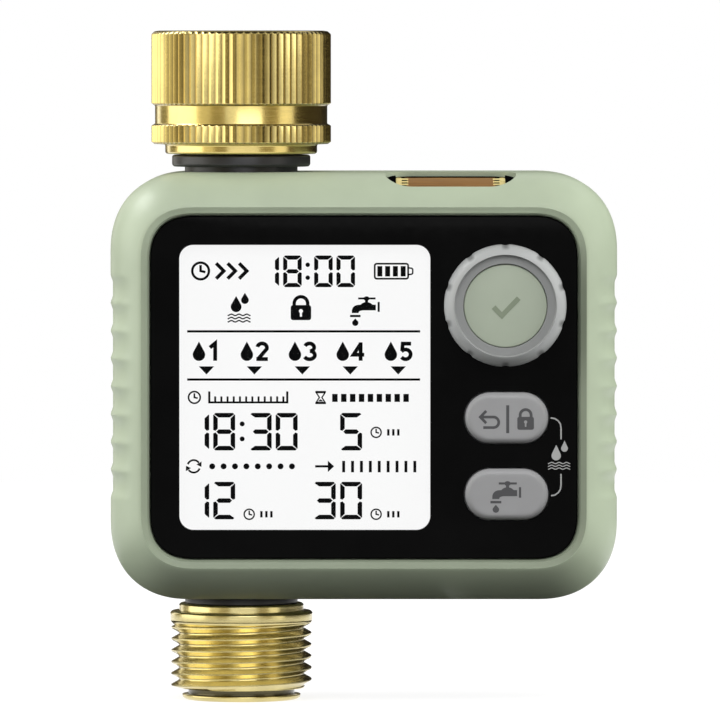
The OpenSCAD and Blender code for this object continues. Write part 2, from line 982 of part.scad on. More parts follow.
lip_top = -19.4;
lip_bore_r = stub_r + 0.15;
groove_depth = 0.9;
groove_turns = 5;
nut_neck_r = 14.55;
module inlet_nut() {
    flange_room_r = 13.1;
    groove_half = 0.75;
    root_half = 0.12;
    color(brass_tone)
        difference() {
            union() {
                knurl_band(knurl_bottom, mouth_h);
                rod_z(nut_r - 0.65, band_top - 0.5, knurl_bottom + 0.5);
                knurl_band(band_bottom, band_top);
                rod_z(nut_neck_r, nut_bottom, band_bottom + 0.5);
            }
            rod_z(inlet_r, -inlet_len - over, mouth_h + over);
            cylinder(h = mouth_h + 0.2, r1 = inlet_r, r2 = inlet_r + 1.2);
            for (i = [0 : groove_turns - 1])
                rotate_extrude()
                    translate([inlet_r, -1.3 - thread_pitch * i])
                        polygon([
                            [-0.5, -groove_half], [0, -groove_half], [groove_depth, -root_half],
                            [groove_depth, root_half], [0, groove_half], [-0.5, groove_half]
                        ]);
            rod_z(flange_room_r, lip_top, -inlet_len);
            rod_z(lip_bore_r, nut_bottom - over, lip_top + over);
        }
}

flange_r = 12.3;
tail_flange_top = -17.2;
spigot_r = 8.5;
spigot_l = 9;
module inlet_tailpiece() {
    color(black_tone)
        difference() {
            union() {
                rod_z(flange_r, lip_top + 0.1, tail_flange_top);
                rod_z(stub_r - 0.1, collar_bottom, lip_top + 0.3);
                rod_z(spigot_r, collar_bottom - spigot_l, collar_bottom + over);
            }
            rod_z(passage_r, collar_bottom - 10, tail_flange_top + over);
        }
}

screen_r = 8.6;
module inlet_washer() {
    color(rubber_tone)
        difference() {
            rod_z(12.8, tail_flange_top + 0.02, tail_flange_top + 2.8);
            rod_z(7, tail_flange_top - over, tail_flange_top + 4);
            rod_z(screen_r + 0.05, tail_flange_top + 1.1, tail_flange_top + 1.75);
        }
}

// Perforated steel disc held in the washer's inner groove
module filter_screen() {
    hole_step = 1.55;
    color(steel_tone)
        difference() {
            rod_z(screen_r, tail_flange_top + 1.15, tail_flange_top + 1.7);
            for (row = [-4 : 4])
                for (col = [-4 : 4])
                    let (p = [hole_step * (col + row / 2), hole_step * row * sin(60)])
                        if (norm(p) < 6.3)
                            translate([p[0], p[1], tail_flange_top])
                                cylinder(h = 3, r = 0.55, $fn = 16);
        }
}

module thrust_collar() {
    color(black_tone)
        ring_z(13.25, stub_r + 0.1, collar_bottom + 0.02, nut_bottom - 0.15);
}

// Valve

// Seals between the case wall and a collar on each pipe stub
collar_h = 1.5;
collar_r = 12;
seal_t = 1.2;
seal_room = 0.15;
module pipe_seals() {
    color(rubber_tone) {
        ring_z(collar_r, stub_r + 0.02, case_top - wall - seal_t, case_top - wall - seal_room);
        ring_z(collar_r, stub_r + 0.02, case_bottom + wall + seal_room, case_bottom + wall + seal_t);
    }
}

module valve_body() {
    color(black_tone)
        difference() {
            union() {
                rod_z(stub_r, chamber_top, collar_bottom);
                rod_z(
                    collar_r,
                    case_top - wall - seal_t - slip - collar_h,
                    case_top - wall - seal_t - slip
                );
                rod_z(housing_r, chamber_bottom, chamber_top + 3);
                rod_y(0, ball_z, boss_r, 2, boss_y);
                rod_y(0, ball_z, boss_r + 1.5, 2, bracket_y - slip);
            }
            rod_z(passage_r, chamber_top - over, collar_bottom + over);
            rod_z(spigot_r + slip, collar_bottom - spigot_l - gap, collar_bottom + over);
            rod_z(chamber_r, chamber_bottom - over, chamber_top);
            rod_y(0, ball_z, stem_r + slip, 2, boss_y + over);
        }
}

module valve_end() {
    color(black_tone)
        difference() {
            union() {
                rod_z(chamber_r - slip, chamber_bottom - 0.5, ball_z - 9.05);
                rod_z(housing_r, chamber_bottom - 3, chamber_bottom - slip);
                rod_z(stub_r, outlet_top, chamber_bottom - 2);
                rod_z(
                    collar_r,
                    case_bottom + wall + seal_t + slip,
                    case_bottom + wall + seal_t + slip + collar_h
                );
            }
            rod_z(passage_r, outlet_top - over, ball_z);
            rod_z(9, outlet_top - over, outlet_top + 9);
        }
}

module ball_seats() {
    color(white_tone)
        for (side = [0, 1])
            translate([0, 0, ball_z])
                mirror([0, 0, side])
                    difference() {
                        ring_z(chamber_r - slip, 5.7, 5, 8.98);
                        sphere(r = ball_r + seat_gap);
                    }
}

// Ball, shown shut: its passage lies across the pipe
slot_y = 5.9;
module valve_ball() {
    color(steel_tone)
        translate([0, 0, ball_z])
            difference() {
                sphere(r = ball_r);
                rod_x(0, 0, ball_bore_r, -10, 10);
                box_between([-10, slot_y, -1.3], [10, 10, 1.3]);
            }
}

seal_ys = [11.3, 13.2];
stem_tip_y = gear_y + gear_t + 1.2;
module valve_stem() {
    color(steel_tone)
        translate([0, 0, ball_z])
            difference() {
                union() {
                    box_between([-2.7, slot_y + 0.15, -1.2], [2.7, ball_r + 0.3, 1.2]);
                    rod_y(0, 0, stem_r, ball_r + 0.1, gear_y);
                    rod_y(0, 0, 2.5, gear_y - over, stem_tip_y);
                }
                for (y = seal_ys)
                    difference() {
                        rod_y(0, 0, stem_r + over, y - 0.65, y + 0.65);
                        rod_y(0, 0, 1.8, y - 2, y + 2);
                    }
                difference() {
                    rod_y(0, 0, 4, gear_y + gear_t + 0.15, gear_y + gear_t + 0.65);
                    rod_y(0, 0, 2, gear_y, stem_tip_y + over);
                }
            }
}

module stem_seals() {
    color(rubber_tone)
        for (y = seal_ys)
            translate([0, y, ball_z])
                rotate([-90, 0, 0])
                    rotate_extrude()
                        translate([2.41, 0])
                            circle(r = 0.58);
}

module stem_circlip() {
    color(steel_tone)
        translate([0, gear_y + gear_t + 0.2, ball_z])
            rotate([-90, 0, 0])
                difference() {
                    ring_z(4, 2.05, 0, 0.4);
                    box_between([-1, 0, -over], [1, 6, over]);
                }
}

// Involute gear outline with even backlash
function roll_angle(base_r, r) = sqrt(max(pow(r / base_r, 2) - 1, 0)) * 180 / PI - acos(min(base_r / r, 1));

function gear_points(teeth) =
    let (
        pitch_r = gear_module * teeth / 2,
        base_r = pitch_r * cos(flank_angle),
        tip_r = pitch_r + 0.8 * gear_module,
        root_r = pitch_r - 1.05 * gear_module,
        start_r = max(base_r, root_r),
        half_pitch = 90 / teeth - backlash / 4 / pitch_r * 180 / PI + roll_angle(base_r, pitch_r),
        flank = [
            for (i = [0 : 4])
                let (r = start_r + (tip_r - start_r) * i / 4)
                [r, half_pitch - roll_angle(base_r, r)]
        ]
    )
    [
        for (t = [0 : teeth - 1])
            each concat(
                [[root_r, 360 * t / teeth - flank[0][1] - 0.2]],
                [for (i = [0 : 4]) [flank[i][0], 360 * t / teeth - flank[i][1]]],
                [for (i = [4 : -1 : 0]) [flank[i][0], 360 * t / teeth + flank[i][1]]],
                [[root_r, 360 * t / teeth + flank[0][1] + 0.2]]
            )
    ];

module gear_blank(teeth) {
    polygon([for (p = gear_points(teeth)) p[0] * [cos(p[1]), sin(p[1])]]);
}

module valve_gear() {
    color(white_tone)
        difference() {
            plate_y(gear_y, gear_y + gear_t)
                translate([0, ball_z])
                    gear_blank(gear_teeth);
            rod_y(0, ball_z, 2.52, gear_y - over, gear_y + gear_t + over);
            for (i = [0 : 5])
                translate([0, 0, ball_z])
                    rotate([0, 60 * i, 0])
                        rod_y(7.6, 0, 2.2, gear_y - over, gear_y + gear_t + over);
        }
}

module motor_pinion() {
    color(brass_tone)
        difference() {
            plate_y(gear_y, gear_y + gear_t)
                translate([motor_x, ball_z])
                    rotate(180 / pinion_teeth)
                        gear_blank(pinion_teeth);
            rod_y(motor_x, ball_z, shaft_r + 0.02, gear_y - over, gear_y + gear_t + over);
        }
}

module motor_shaft() {
    color(steel_tone)
        rod_y(motor_x, ball_z, shaft_r, bracket_y - 1.2, gear_y + gear_t + 0.4);
}

module motor_bracket() {
    color(black_tone)
        difference() {
            box_between(
                [-9, bracket_y, ball_z - 8.5],
                [motor_x + 6, bracket_y + bracket_t, ball_z + 8.5]
            );
            rod_y(0, ball_z, boss_r + slip, bracket_y - over, bracket_y + 3);
            rod_y(motor_x, ball_z, 2.2, bracket_y - over, bracket_y + 3);
            for (side = [-1, 1])
                rod_y(motor_x, ball_z + 4.5 * side, 0.85, bracket_y - over, bracket_y + 3);
        }
}

module gear_motor() {
    y1 = bracket_y - slip;
    color(steel_tone)
        difference() {
            union() {
                box_between(
                    [motor_x - 5, y1 - gearbox_l, ball_z - 6],
                    [motor_x + 5, y1, ball_z + 6]
                );
                intersection() {
                    rod_y(motor_x, ball_z, 6, y1 - gearbox_l - motor_l, y1 - gearbox_l + 0.5);
                    box_between(
                        [motor_x - 5, y1 - gearbox_l - motor_l - over, ball_z - 7],
                        [motor_x + 5, y1, ball_z + 7]
                    );
                }
            }
            rod_y(motor_x, ball_z, shaft_r + 0.1, y1 - 2, y1 + over);
            for (side = [-1, 1])
                rod_y(motor_x, ball_z + 4.5 * side, 0.8, y1 - 3, y1 + over);
        }
}

module motor_screws() {
    color(steel_tone)
        for (side = [-1, 1])
            translate([motor_x, bracket_y + bracket_t + 0.02, ball_z + 4.5 * side])
                pan_screw(1.2, 0.55, 0.78, bracket_t + 2.4);
}

// Outlet

crest_land = 0.45;
root_land = 0.5;
module outlet_fitting() {
    crests = [for (i = [0 : 4]) thread_top - 1.3 - thread_pitch * i];
    flank_half = (thread_pitch - root_land) / 2;
    ridges = [
        for (z = crests)
            each [
                [outlet_core_r, z + flank_half], [outlet_r, z + crest_land / 2],
                [outlet_r, z - crest_land / 2], [outlet_core_r, z - flank_half]
            ]
    ];
    color(brass_tone)
        rotate_extrude()
            polygon(concat(
                [
                    [7.4, outlet_top + 8.8], [8.95, outlet_top + 8.8], [8.95, outlet_top],
                    [11.6, outlet_top], [11.95, outlet_top - 0.35], [11.95, flange_top],
                    [13.35, flange_top], [13.65, flange_top - 0.4], [13.65, thread_top + 0.4],
                    [13.35, thread_top], [outlet_core_r, thread_top]
                ],
                ridges,
                [
                    [outlet_core_r, thread_bottom + 0.3], [11.35, thread_bottom],
                    [11.35, outlet_bottom + 1], [10.9, outlet_bottom + 0.25], [10.3, outlet_bottom],
                    [8.9, outlet_bottom], [8.4, outlet_bottom + 0.5], [8.4, outlet_top],
                    [7.4, outlet_top + 0.6]
                ]
            ));
}

front_shell();
rear_shell();
case_seal();
case_screws();
fascia_panel();
display_lens();
lcd_module();
lcd_holder();
contact_strips();
dial_ring();
dial_clip();
ok_cap();
back_key();
tap_key();
main_board();
tact_switches();
dial_sensor();
rain_sensor_board();
sensor_seal();
sensor_leads();
battery_box();
battery_cells();
battery_contacts();
battery_leads();
battery_door();
door_seal();
door_hinge_pin();
door_screw();
inlet_nut();
inlet_washer();
filter_screen();
inlet_tailpiece();
thrust_collar();
pipe_seals();
valve_body();
valve_end();
ball_seats();
valve_ball();
valve_stem();
stem_seals();
valve_gear();
stem_circlip();
motor_bracket();
gear_motor();
motor_screws();
motor_leads();
motor_shaft();
motor_pinion();
outlet_fitting();
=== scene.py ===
import math

import bmesh
import bpy
from mathutils import Matrix, Vector
from mathutils.geometry import tessellate_polygon
from mathutils.kdtree import KDTree


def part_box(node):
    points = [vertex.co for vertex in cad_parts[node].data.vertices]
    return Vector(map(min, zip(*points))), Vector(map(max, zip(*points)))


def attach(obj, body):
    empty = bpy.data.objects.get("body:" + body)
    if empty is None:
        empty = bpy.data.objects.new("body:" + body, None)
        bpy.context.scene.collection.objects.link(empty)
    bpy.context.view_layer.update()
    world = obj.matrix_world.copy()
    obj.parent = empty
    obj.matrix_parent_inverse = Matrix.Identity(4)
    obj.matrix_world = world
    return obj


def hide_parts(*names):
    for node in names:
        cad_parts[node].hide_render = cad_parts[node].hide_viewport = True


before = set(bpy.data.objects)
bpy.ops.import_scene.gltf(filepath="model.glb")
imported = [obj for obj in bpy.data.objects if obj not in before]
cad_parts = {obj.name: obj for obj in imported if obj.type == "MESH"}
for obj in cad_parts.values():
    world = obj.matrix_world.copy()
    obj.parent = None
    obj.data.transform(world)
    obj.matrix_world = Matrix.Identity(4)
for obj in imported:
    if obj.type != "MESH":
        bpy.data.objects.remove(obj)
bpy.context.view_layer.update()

MM = 0.001


# Sizes taken from the solids, in millimetres

def span(node):
    low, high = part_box(node)
    return [1000 * v for v in low], [1000 * v for v in high]


def middle(node):
    low, high = span(node)
    return (low[0] + high[0]) / 2, (low[2] + high[2]) / 2


def front_size(node):
    low, high = span(node)
    return high[0] - low[0], high[2] - low[2]


def front_of(node):
    return span(node)[0][1]


case_c = middle("front_shell")
case_w, case_h = front_size("front_shell")
case_bottom = span("front_shell")[0][2]
case_top = span("front_shell")[1][2]
crest_y = front_of("front_shell")
back_y = span("rear_shell")[1][1]

panel_w, panel_h = front_size("fascia_panel")
panel_front = front_of("fascia_panel")
panel_back = span("fascia_panel")[1][1]
window_c = middle("display_lens")
window_w, window_h = front_size("display_lens")
glass_y = front_of("lcd_module")
dial_c = middle("dial_ring")
back_key_c = middle("back_key")
tap_key_c = middle("tap_key")
KEY_FLANGE = 1.1
key_w, key_h = [size - 2 * KEY_FLANGE for size in front_size("back_key")]
outlet_bottom = span("outlet_fitting")[0][2]

WALL = 2.2
ROLL_R = 13.0
BEVEL = 1.5
PANEL_GAP = 0.2
SEAT_IN_W = (case_w - panel_w) / 2 - PANEL_GAP
SEAT_IN_H = (case_h - panel_h) / 2 - PANEL_GAP
RIM_W = SEAT_IN_W - BEVEL
RIM_H = SEAT_IN_H - BEVEL
BACK_R = 8.0
ROLL_END = math.acos(1 - RIM_W / ROLL_R)
ROLL_START_Y = crest_y + ROLL_R * math.sin(ROLL_END)
STUB_HOLE_R = 11.1


# Mesh work

def in_scene(name, mesh):
    obj = bpy.data.objects.new(name, mesh)
    bpy.context.scene.collection.objects.link(obj)
    return obj


def solid(name, points, faces):
    """Mesh from millimetre points, doubles merged and faces turned outwards."""
    mesh = bpy.data.meshes.new(name)
    mesh.from_pydata([(x * MM, y * MM, z * MM) for x, y, z in points], [], faces)
    work = bmesh.new()
    work.from_mesh(mesh)
    bmesh.ops.remove_doubles(work, verts=work.verts, dist=1e-7)
    bmesh.ops.dissolve_degenerate(work, edges=work.edges, dist=1e-8)
    bmesh.ops.recalc_face_normals(work, faces=work.faces)
    work.to_mesh(mesh)
    work.free()
    return in_scene(name, mesh)


def band(start, count, rings):
    """Faces between rings of equal count whose points follow each other from a start."""
    faces = []
    for a in range(start, start + (rings - 1) * count, count):
        for k in range(count):
            n = (k + 1) % count
            faces.append((a + k, a + n, a + count + n, a + count + k))
    return faces


def loft(rings, looped=False):
    """Skin over rings of equal count, closed round on itself or capped at both ends."""
    count = len(rings[0])
    points = [p for ring in rings for p in ring]
    faces = band(0, count, len(rings))
    last = len(points) - count
    if looped:
        faces += [(last + k, last + (k + 1) % count, (k + 1) % count, k) for k in range(count)]
    else:
        faces += [tuple(range(count)), tuple(range(last, len(points)))]
    return points, faces


def turned_rings(profile, columns, start=0.0):
    """Rings round the Z axis, one for each (reach, height) of a profile."""
    angles = [start + 2 * math.pi * k / columns for k in range(columns)]
    return [[(r * math.cos(a), r * math.sin(a), z) for a in angles] for r, z in profile]


def turned(profile, columns, looped=True):
    """Body of revolution round the Z axis."""
    return loft(turned_rings(profile, columns), looped)


def turned_back(name, profile, columns, centre, looped=True):
    """Body of revolution whose axis runs backwards, from a profile of (reach, depth)."""
    points, faces = turned(profile, columns, looped)
    return solid(name, [(centre[0] + x, z, centre[1] + y) for x, y, z in points], faces)


def between(a, b, share):
    return a + (b - a) * share


def quarter(steps):
    """Angles of a quarter turn."""
    return [math.pi / 2 * i / steps for i in range(steps + 1)]


def eased(edge, steps):
    """How far in and how deep the points of a rounded front edge lie."""
    return [(edge * (1 - math.sin(a)), edge * (1 - math.cos(a))) for a in quarter(steps)]


def arc(cx, cy, r, start, end, steps):
    """Points on an arc, in degrees."""
    angles = [math.radians(start + (end - start) / steps * i) for i in range(steps + 1)]
    return [(cx + r * math.cos(a), cy + r * math.sin(a)) for a in angles]


def circle(cx, cy, r, steps):
    return arc(cx, cy, r, 0, 360, steps)[:-1]


def rounded_outline(w, h, r, power, corner_steps, side_steps=1, top_steps=1):
    """Rounded rectangle round the origin, its corners drawn as superellipses."""
    x, z = w / 2, h / 2
    sides = [
        ((x - r, z), (r - x, z)), ((-x, z - r), (-x, r - z)),
        ((r - x, -z), (x - r, -z)), ((x, r - z), (x, z - r)),
    ]
    points = []
    for corner, (start, end) in enumerate(sides):
        sx = 1 if corner in (0, 3) else -1
        sz = 1 if corner in (0, 1) else -1
        for i in range(corner_steps):
            t = math.pi / 2 * i / corner_steps
            if corner % 2:
                t = math.pi / 2 - t
            points.append((
                sx * (x - r + r * abs(math.cos(t)) ** (2 / power)),
                sz * (z - r + r * abs(math.sin(t)) ** (2 / power)),
            ))
        steps = side_steps if corner % 2 else top_steps
        for i in range(steps):
            points.append((between(start[0], end[0], i / steps), between(start[1], end[1], i / steps)))
    return points


def pill_outline(w, h, steps=16):
    return rounded_outline(w, h, h / 2 - 0.001, 2.0, steps)


def shifted(outline, centre):
    return [(centre[0] + x, centre[1] + z) for x, z in outline]


def placed(outline, centre, y):
    return [(x, y, z) for x, z in shifted(outline, centre)]


def filled(loops):
    """Triangles over a flat outline and its holes, as the numbers of their points."""
    return tessellate_polygon([[Vector((x, z, 0)) for x, z in loop] for loop in loops])


def bake(obj):
    """Keeps what the object's modifiers make as its plain mesh."""
    depsgraph = bpy.context.evaluated_depsgraph_get()
    mesh = bpy.data.meshes.new_from_object(obj.evaluated_get(depsgraph), depsgraph=depsgraph)
    old = obj.data
    obj.modifiers.clear()
    obj.data = mesh
    bpy.data.meshes.remove(old)
    return obj


def shaped(obj, how, *tools):
    """Cuts, joins or keeps what the tools say, one after the other, and removes the tools."""
    for tool in tools:
        step = obj.modifiers.new("shape", "BOOLEAN")
        step.operation = how
        step.solver = "EXACT"
        step.object = tool
    bake(obj)
    for tool in tools:
        bpy.data.objects.remove(tool)
    return obj


def grown(obj, group, values):
    """Runs a node tree on an object and keeps the result as its plain mesh."""
    step = obj.modifiers.new(group.name, "NODES")
    step.node_group = group
    for item in group.interface.items_tree:
        if item.item_type == "SOCKET" and item.in_out == "INPUT" and item.name in values:
            step[item.identifier] = values[item.name]
    return bake(obj)


def joined(name, parts):
    """Several meshes as one object."""
    work = bmesh.new()
    for part in parts:
        work.from_mesh(part.data)
        bpy.data.objects.remove(part)
    mesh = bpy.data.meshes.new(name)
    work.to_mesh(mesh)
    work.free()
    return in_scene(name, mesh)


def block(low, high):
    (x0, y0, z0), (x1, y1, z1) = low, high
    return solid("block", *loft([[(x0, y0, z), (x1, y0, z), (x1, y1, z), (x0, y1, z)] for z in (z0, z1)]))


def rod(r, z0, z1):
    return solid("rod", *turned([(r, z0), (r, z1)], 96, looped=False))


def rod_back(centre, r, y0, y1):
    return turned_back("rod", [(r, y0), (r, y1)], 48, centre, looped=False)


def settle(obj, body, finish, nodes=(), crease=32):
    """Gives a finished piece its surface and hangs it on its body."""
    mesh = obj.data
    mesh.materials.clear()
    mesh.materials.append(finish)
    mesh.polygons.foreach_set("material_index", [0] * len(mesh.polygons))
    mesh.polygons.foreach_set("use_smooth", [True] * len(mesh.polygons))
    mesh.set_sharp_from_angle(angle=math.radians(crease))
    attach(obj, body)
    if nodes:
        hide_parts(*nodes)


# Node benches, for shapes and for finishes

class Bench:
    """A node tree with short ways to add and join nodes."""

    def __init__(self, tree):
        self.tree = tree

    def add(self, kind, inputs=None, **settings):
        node = self.tree.nodes.new(kind)
        for key, value in settings.items():
            setattr(node, key, value)
        for key, value in (inputs or {}).items():
            if isinstance(value, bpy.types.NodeSocket):
                self.tree.links.new(value, node.inputs[key])
            else:
                node.inputs[key].default_value = value
        return node

    def maths(self, how, a, b=0.0, c=0.0):
        return self.add("ShaderNodeMath", {0: a, 1: b, 2: c}, operation=how).outputs[0]

    def times(self, a, b):
        return self.maths("MULTIPLY", a, b)

    def minus(self, a, b):
        return self.maths("SUBTRACT", a, b)

    def over(self, a, b):
        return self.maths("DIVIDE", a, b)

    def axes(self, vector):
        return self.add("ShaderNodeSeparateXYZ", {0: vector}).outputs

    def scaled(self, vector, by):
        return self.add("ShaderNodeVectorMath", {0: vector, "Scale": by}, operation="SCALE").outputs[0]


class ShapeTree(Bench):
    """A geometry tree with named inputs."""

    def __init__(self, name, inputs):
        group = bpy.data.node_groups.new(name, "GeometryNodeTree")
        super().__init__(group)
        group.interface.new_socket("Geometry", in_out="OUTPUT", socket_type="NodeSocketGeometry")
        group.interface.new_socket("Geometry", in_out="INPUT", socket_type="NodeSocketGeometry")
        for label, kind in inputs.items():
            group.interface.new_socket(label, in_out="INPUT", socket_type="NodeSocket" + kind)
        self.inlet = group.nodes.new("NodeGroupInput").outputs
        self.outlet = group.nodes.new("NodeGroupOutput").inputs

    def ramp(self, value, low, high):
        return self.add(
            "ShaderNodeMapRange", {"Value": value, "From Min": low, "From Max": high},
            interpolation_type="SMOOTHSTEP",
        ).outputs["Result"]

    def position(self):
        return self.add("GeometryNodeInputPosition").outputs[0]

    def vector(self, x, y, z):
        return self.add("ShaderNodeCombineXYZ", {0: x, 1: y, 2: z}).outputs[0]

    def reach(self, a, b):
        squares = self.maths("ADD", self.maths("POWER", a, 2.0), self.maths("POWER", b, 2.0))
        return self.maths("POWER", squares, 0.5)

    def turns(self, angle, count):
        """An angle counted in steps, of which this many go round."""
        return self.times(self.over(angle, 2 * math.pi), count)

    def dip(self, across):
        """1 in the middle of a hollow, falling in a curve to 0 at its edges, -1 and 1."""
        square = self.maths("POWER", self.maths("ABSOLUTE", across), 2.0)
        return self.maths("MAXIMUM", self.minus(1.0, square), 0.0)

    def moved(self, offset):
        shape = self.add("GeometryNodeSetPosition", {0: self.inlet["Geometry"], "Offset": offset})
        return self.end(shape.outputs[0])

    def drawn_in(self, from_axis, reach, sink):
        """Moves each point towards the axis it lies round."""
        return self.moved(self.scaled(from_axis, self.times(self.over(sink, reach), -1.0)))

    def end(self, geometry):
        realized = self.add("GeometryNodeRealizeInstances", {0: geometry}).outputs[0]
        painted = self.add("GeometryNodeSetMaterial", {0: realized, "Material": self.inlet["Finish"]})
        self.tree.links.new(painted.outputs[0], self.outlet[0])
        return self.tree


def grip_tree():
    """Sinks a row of finger scallops into the sides of the case, fading round the edges."""
    t = ShapeTree("side_grip", {
        "Middle": "Float", "Lowest": "Float", "Pitch": "Float", "Filled": "Float", "Count": "Int",
        "Depth": "Float", "Fade": "Float", "Full": "Float", "Finish": "Material",
    })
    normal = t.add("GeometryNodeInputNormal").outputs[0]
    x, _, z = t.axes(t.position())
    outward = t.times(t.axes(normal)[0], t.maths("SIGN", t.minus(x, t.inlet["Middle"])))
    steps = t.over(t.minus(z, t.inlet["Lowest"]), t.inlet["Pitch"])
    across = t.maths("MULTIPLY_ADD", t.maths("FRACT", steps), 2.0, -1.0)
    hollow = t.dip(t.over(across, t.inlet["Filled"]))
    inside = t.times(t.maths("GREATER_THAN", steps, 0.0), t.maths("LESS_THAN", steps, t.inlet["Count"]))
    fade = t.ramp(outward, t.inlet["Fade"], t.inlet["Full"])
    depth = t.times(t.times(hollow, inside), t.times(fade, t.inlet["Depth"]))
    return t.moved(t.scaled(normal, t.times(depth, -1.0)))


def ridge_tree():
    """Cuts V ridges into everything that stands further out than the root."""
    t = ShapeTree("knurl", {"Root": "Float", "Ridges": "Int", "Finish": "Material"})
    x, y, _ = t.axes(t.position())
    reach = t.reach(x, y)
    turns = t.turns(t.maths("ARCTAN2", y, x), t.inlet["Ridges"])
    crest = t.maths("ABSOLUTE", t.maths("MULTIPLY_ADD", t.maths("FRACT", turns), 2.0, -1.0))
    proud = t.maths("MAXIMUM", t.minus(reach, t.inlet["Root"]), 0.0)
    return t.drawn_in(t.vector(x, y, 0.0), reach, t.times(proud, t.minus(1.0, crest)))


def notch_tree():
    """Presses small finger notches into the outer edge of the dial."""
    t = ShapeTree("dial_notches", {
        "Centre": "Vector", "Notches": "Int", "Half width": "Float", "Depth": "Float",
        "Starts": "Float", "Full": "Float", "Finish": "Material",
    })
    from_centre = t.add("ShaderNodeVectorMath", {
        0: t.position(), 1: t.inlet["Centre"],
    }, operation="SUBTRACT").outputs[0]
    x, _, z = t.axes(from_centre)
    reach = t.reach(x, z)
    turns = t.turns(t.minus(t.maths("ARCTAN2", z, x), math.pi / 2), t.inlet["Notches"])
    off = t.minus(t.maths("FRACT", t.maths("ADD", turns, 0.5)), 0.5)
    along = t.times(t.over(off, t.inlet["Notches"]), t.times(reach, 2 * math.pi))
    hollow = t.dip(t.over(along, t.inlet["Half width"]))
    edge = t.ramp(reach, t.inlet["Starts"], t.inlet["Full"])
    return t.drawn_in(t.vector(x, 0.0, z), reach, t.times(t.times(hollow, edge), t.inlet["Depth"]))


def row_tree():
    """Sets copies of a shape in columns and rows."""
    t = ShapeTree("rows", {
        "Shape": "Object", "Columns": "Int", "Column step": "Vector", "Rows": "Int", "Row step": "Vector",
        "Finish": "Material",
    })

    def line(count, step):
        return t.add("GeometryNodeMeshLine", {"Count": t.inlet[count], "Offset": t.inlet[step]}).outputs[0]

    def copies(points, shape):
        return t.add("GeometryNodeInstanceOnPoints", {"Points": points, "Instance": shape}).outputs[0]

    grid = copies(line("Rows", "Row step"), line("Columns", "Column step"))
    points = t.add("GeometryNodeRealizeInstances", {0: grid}).outputs[0]
    shape = t.add("GeometryNodeObjectInfo", {"Object": t.inlet["Shape"]}).outputs["Geometry"]
    return t.end(copies(points, shape))


side_grip = grip_tree()
knurl = ridge_tree()
dial_notches = notch_tree()
rows = row_tree()


def in_rows(name, shape, finish, columns=1, column_step=(0, 0, 0), lines=1, line_step=(0, 0, 0)):
    """Copies of a shape, from where it lies, as one object."""
    obj = in_scene(name, bpy.data.meshes.new(name))
    grown(obj, rows, {
        "Shape": shape, "Columns": columns, "Column step": [v * MM for v in column_step],
        "Rows": lines, "Row step": [v * MM for v in line_step], "Finish": finish,
    })
    bpy.data.objects.remove(shape)
    return obj


# Finishes

def tone(red, green, blue):
    """A colour as read off a screen, 0 to 255, for the shader."""
    def linear(v):
        v /= 255
        return v / 12.92 if v <= 0.04045 else ((v + 0.055) / 1.055) ** 2.4
    return linear(red), linear(green), linear(blue), 1.0


def shade(colour, by):
    return tuple(min(1.0, v * by) for v in colour[:3]) + (1.0,)


class Finish(Bench):
    """One procedural surface, patterned in Object coordinates."""

    def __init__(self, name, **sockets):
        self.material = bpy.data.materials.new(name)
        self.material.use_nodes = True
        super().__init__(self.material.node_tree)
        self.shader = self.tree.nodes["Principled BSDF"]
        for key, value in sockets.items():
            self.shader.inputs[key.replace("_", " ")].default_value = value

    def feed(self, socket, value):
        self.tree.links.new(value, self.shader.inputs[socket])

    def colour_so_far(self):
        return self.shader.inputs["Base Color"].links[0].from_socket

    def place(self):
        return self.add("ShaderNodeTexCoord").outputs["Object"]

    def speckle(self, size, stretch=(1, 1, 1), detail=3.0):
        """Noise whose blotches are about this many millimetres across."""
        place = self.add("ShaderNodeMapping", {"Vector": self.place(), "Scale": stretch}).outputs[0]
        return self.add(
            "ShaderNodeTexNoise", {"Vector": place, "Scale": 1000 / size, "Detail": detail}
        ).outputs["Fac"]

    def colours(self, fac, dark, light):
        ramp = self.add("ShaderNodeValToRGB", {"Fac": fac})
        for stop, position, colour in zip(ramp.color_ramp.elements, (0.35, 0.65), (dark, light)):
            stop.position = position
            stop.color = colour
        self.feed("Base Color", ramp.outputs[0])

    def mottle(self, size, colour, vary):
        self.colours(self.speckle(size), shade(colour, 1 - vary), shade(colour, 1 + vary))

    def gloss(self, fac, low, high):
        level = self.add("ShaderNodeMapRange", {
            "Value": fac, "From Min": 0.3, "From Max": 0.7, "To Min": low, "To Max": high,
        })
        self.feed("Roughness", level.outputs["Result"])

    def paint_light_and_shade(self, share):
        """Paints light and shade: leaves this share of the colour where the mark is 1, a painted shade, and
        paints light, more than the colour, where the mark is negative.
        """
        if share < 1:
            recess = self.add("ShaderNodeAttribute", attribute_name="recess").outputs["Fac"]
            left = self.maths("MULTIPLY_ADD", recess, share - 1, 1.0)
            self.feed("Base Color", self.scaled(self.colour_so_far(), left))

    def relief(self, fac, height, strength):
        bump = self.add("ShaderNodeBump", {"Height": fac, "Distance": height * MM, "Strength": strength})
        self.feed("Normal", bump.outputs[0])


def moulded(name, colour, rough, grain, vary=0.04, grain_size=0.35, specular=0.5, painted_shade_share=1.0, **sockets):
    """Moulded plastic or rubber: soft mottling, uneven gloss and a fine tool grain; the shade share is the
    painted shade where the piece is marked, and painted light where the mark is negative.
    """
    finish = Finish(name, Specular_IOR_Level=specular, **sockets)
    finish.mottle(9, colour, vary)
    finish.paint_light_and_shade(painted_shade_share)
    finish.gloss(finish.speckle(2.5), rough - 0.05, rough + 0.05)
    finish.relief(finish.speckle(grain_size), grain, 0.35)
    return finish.material


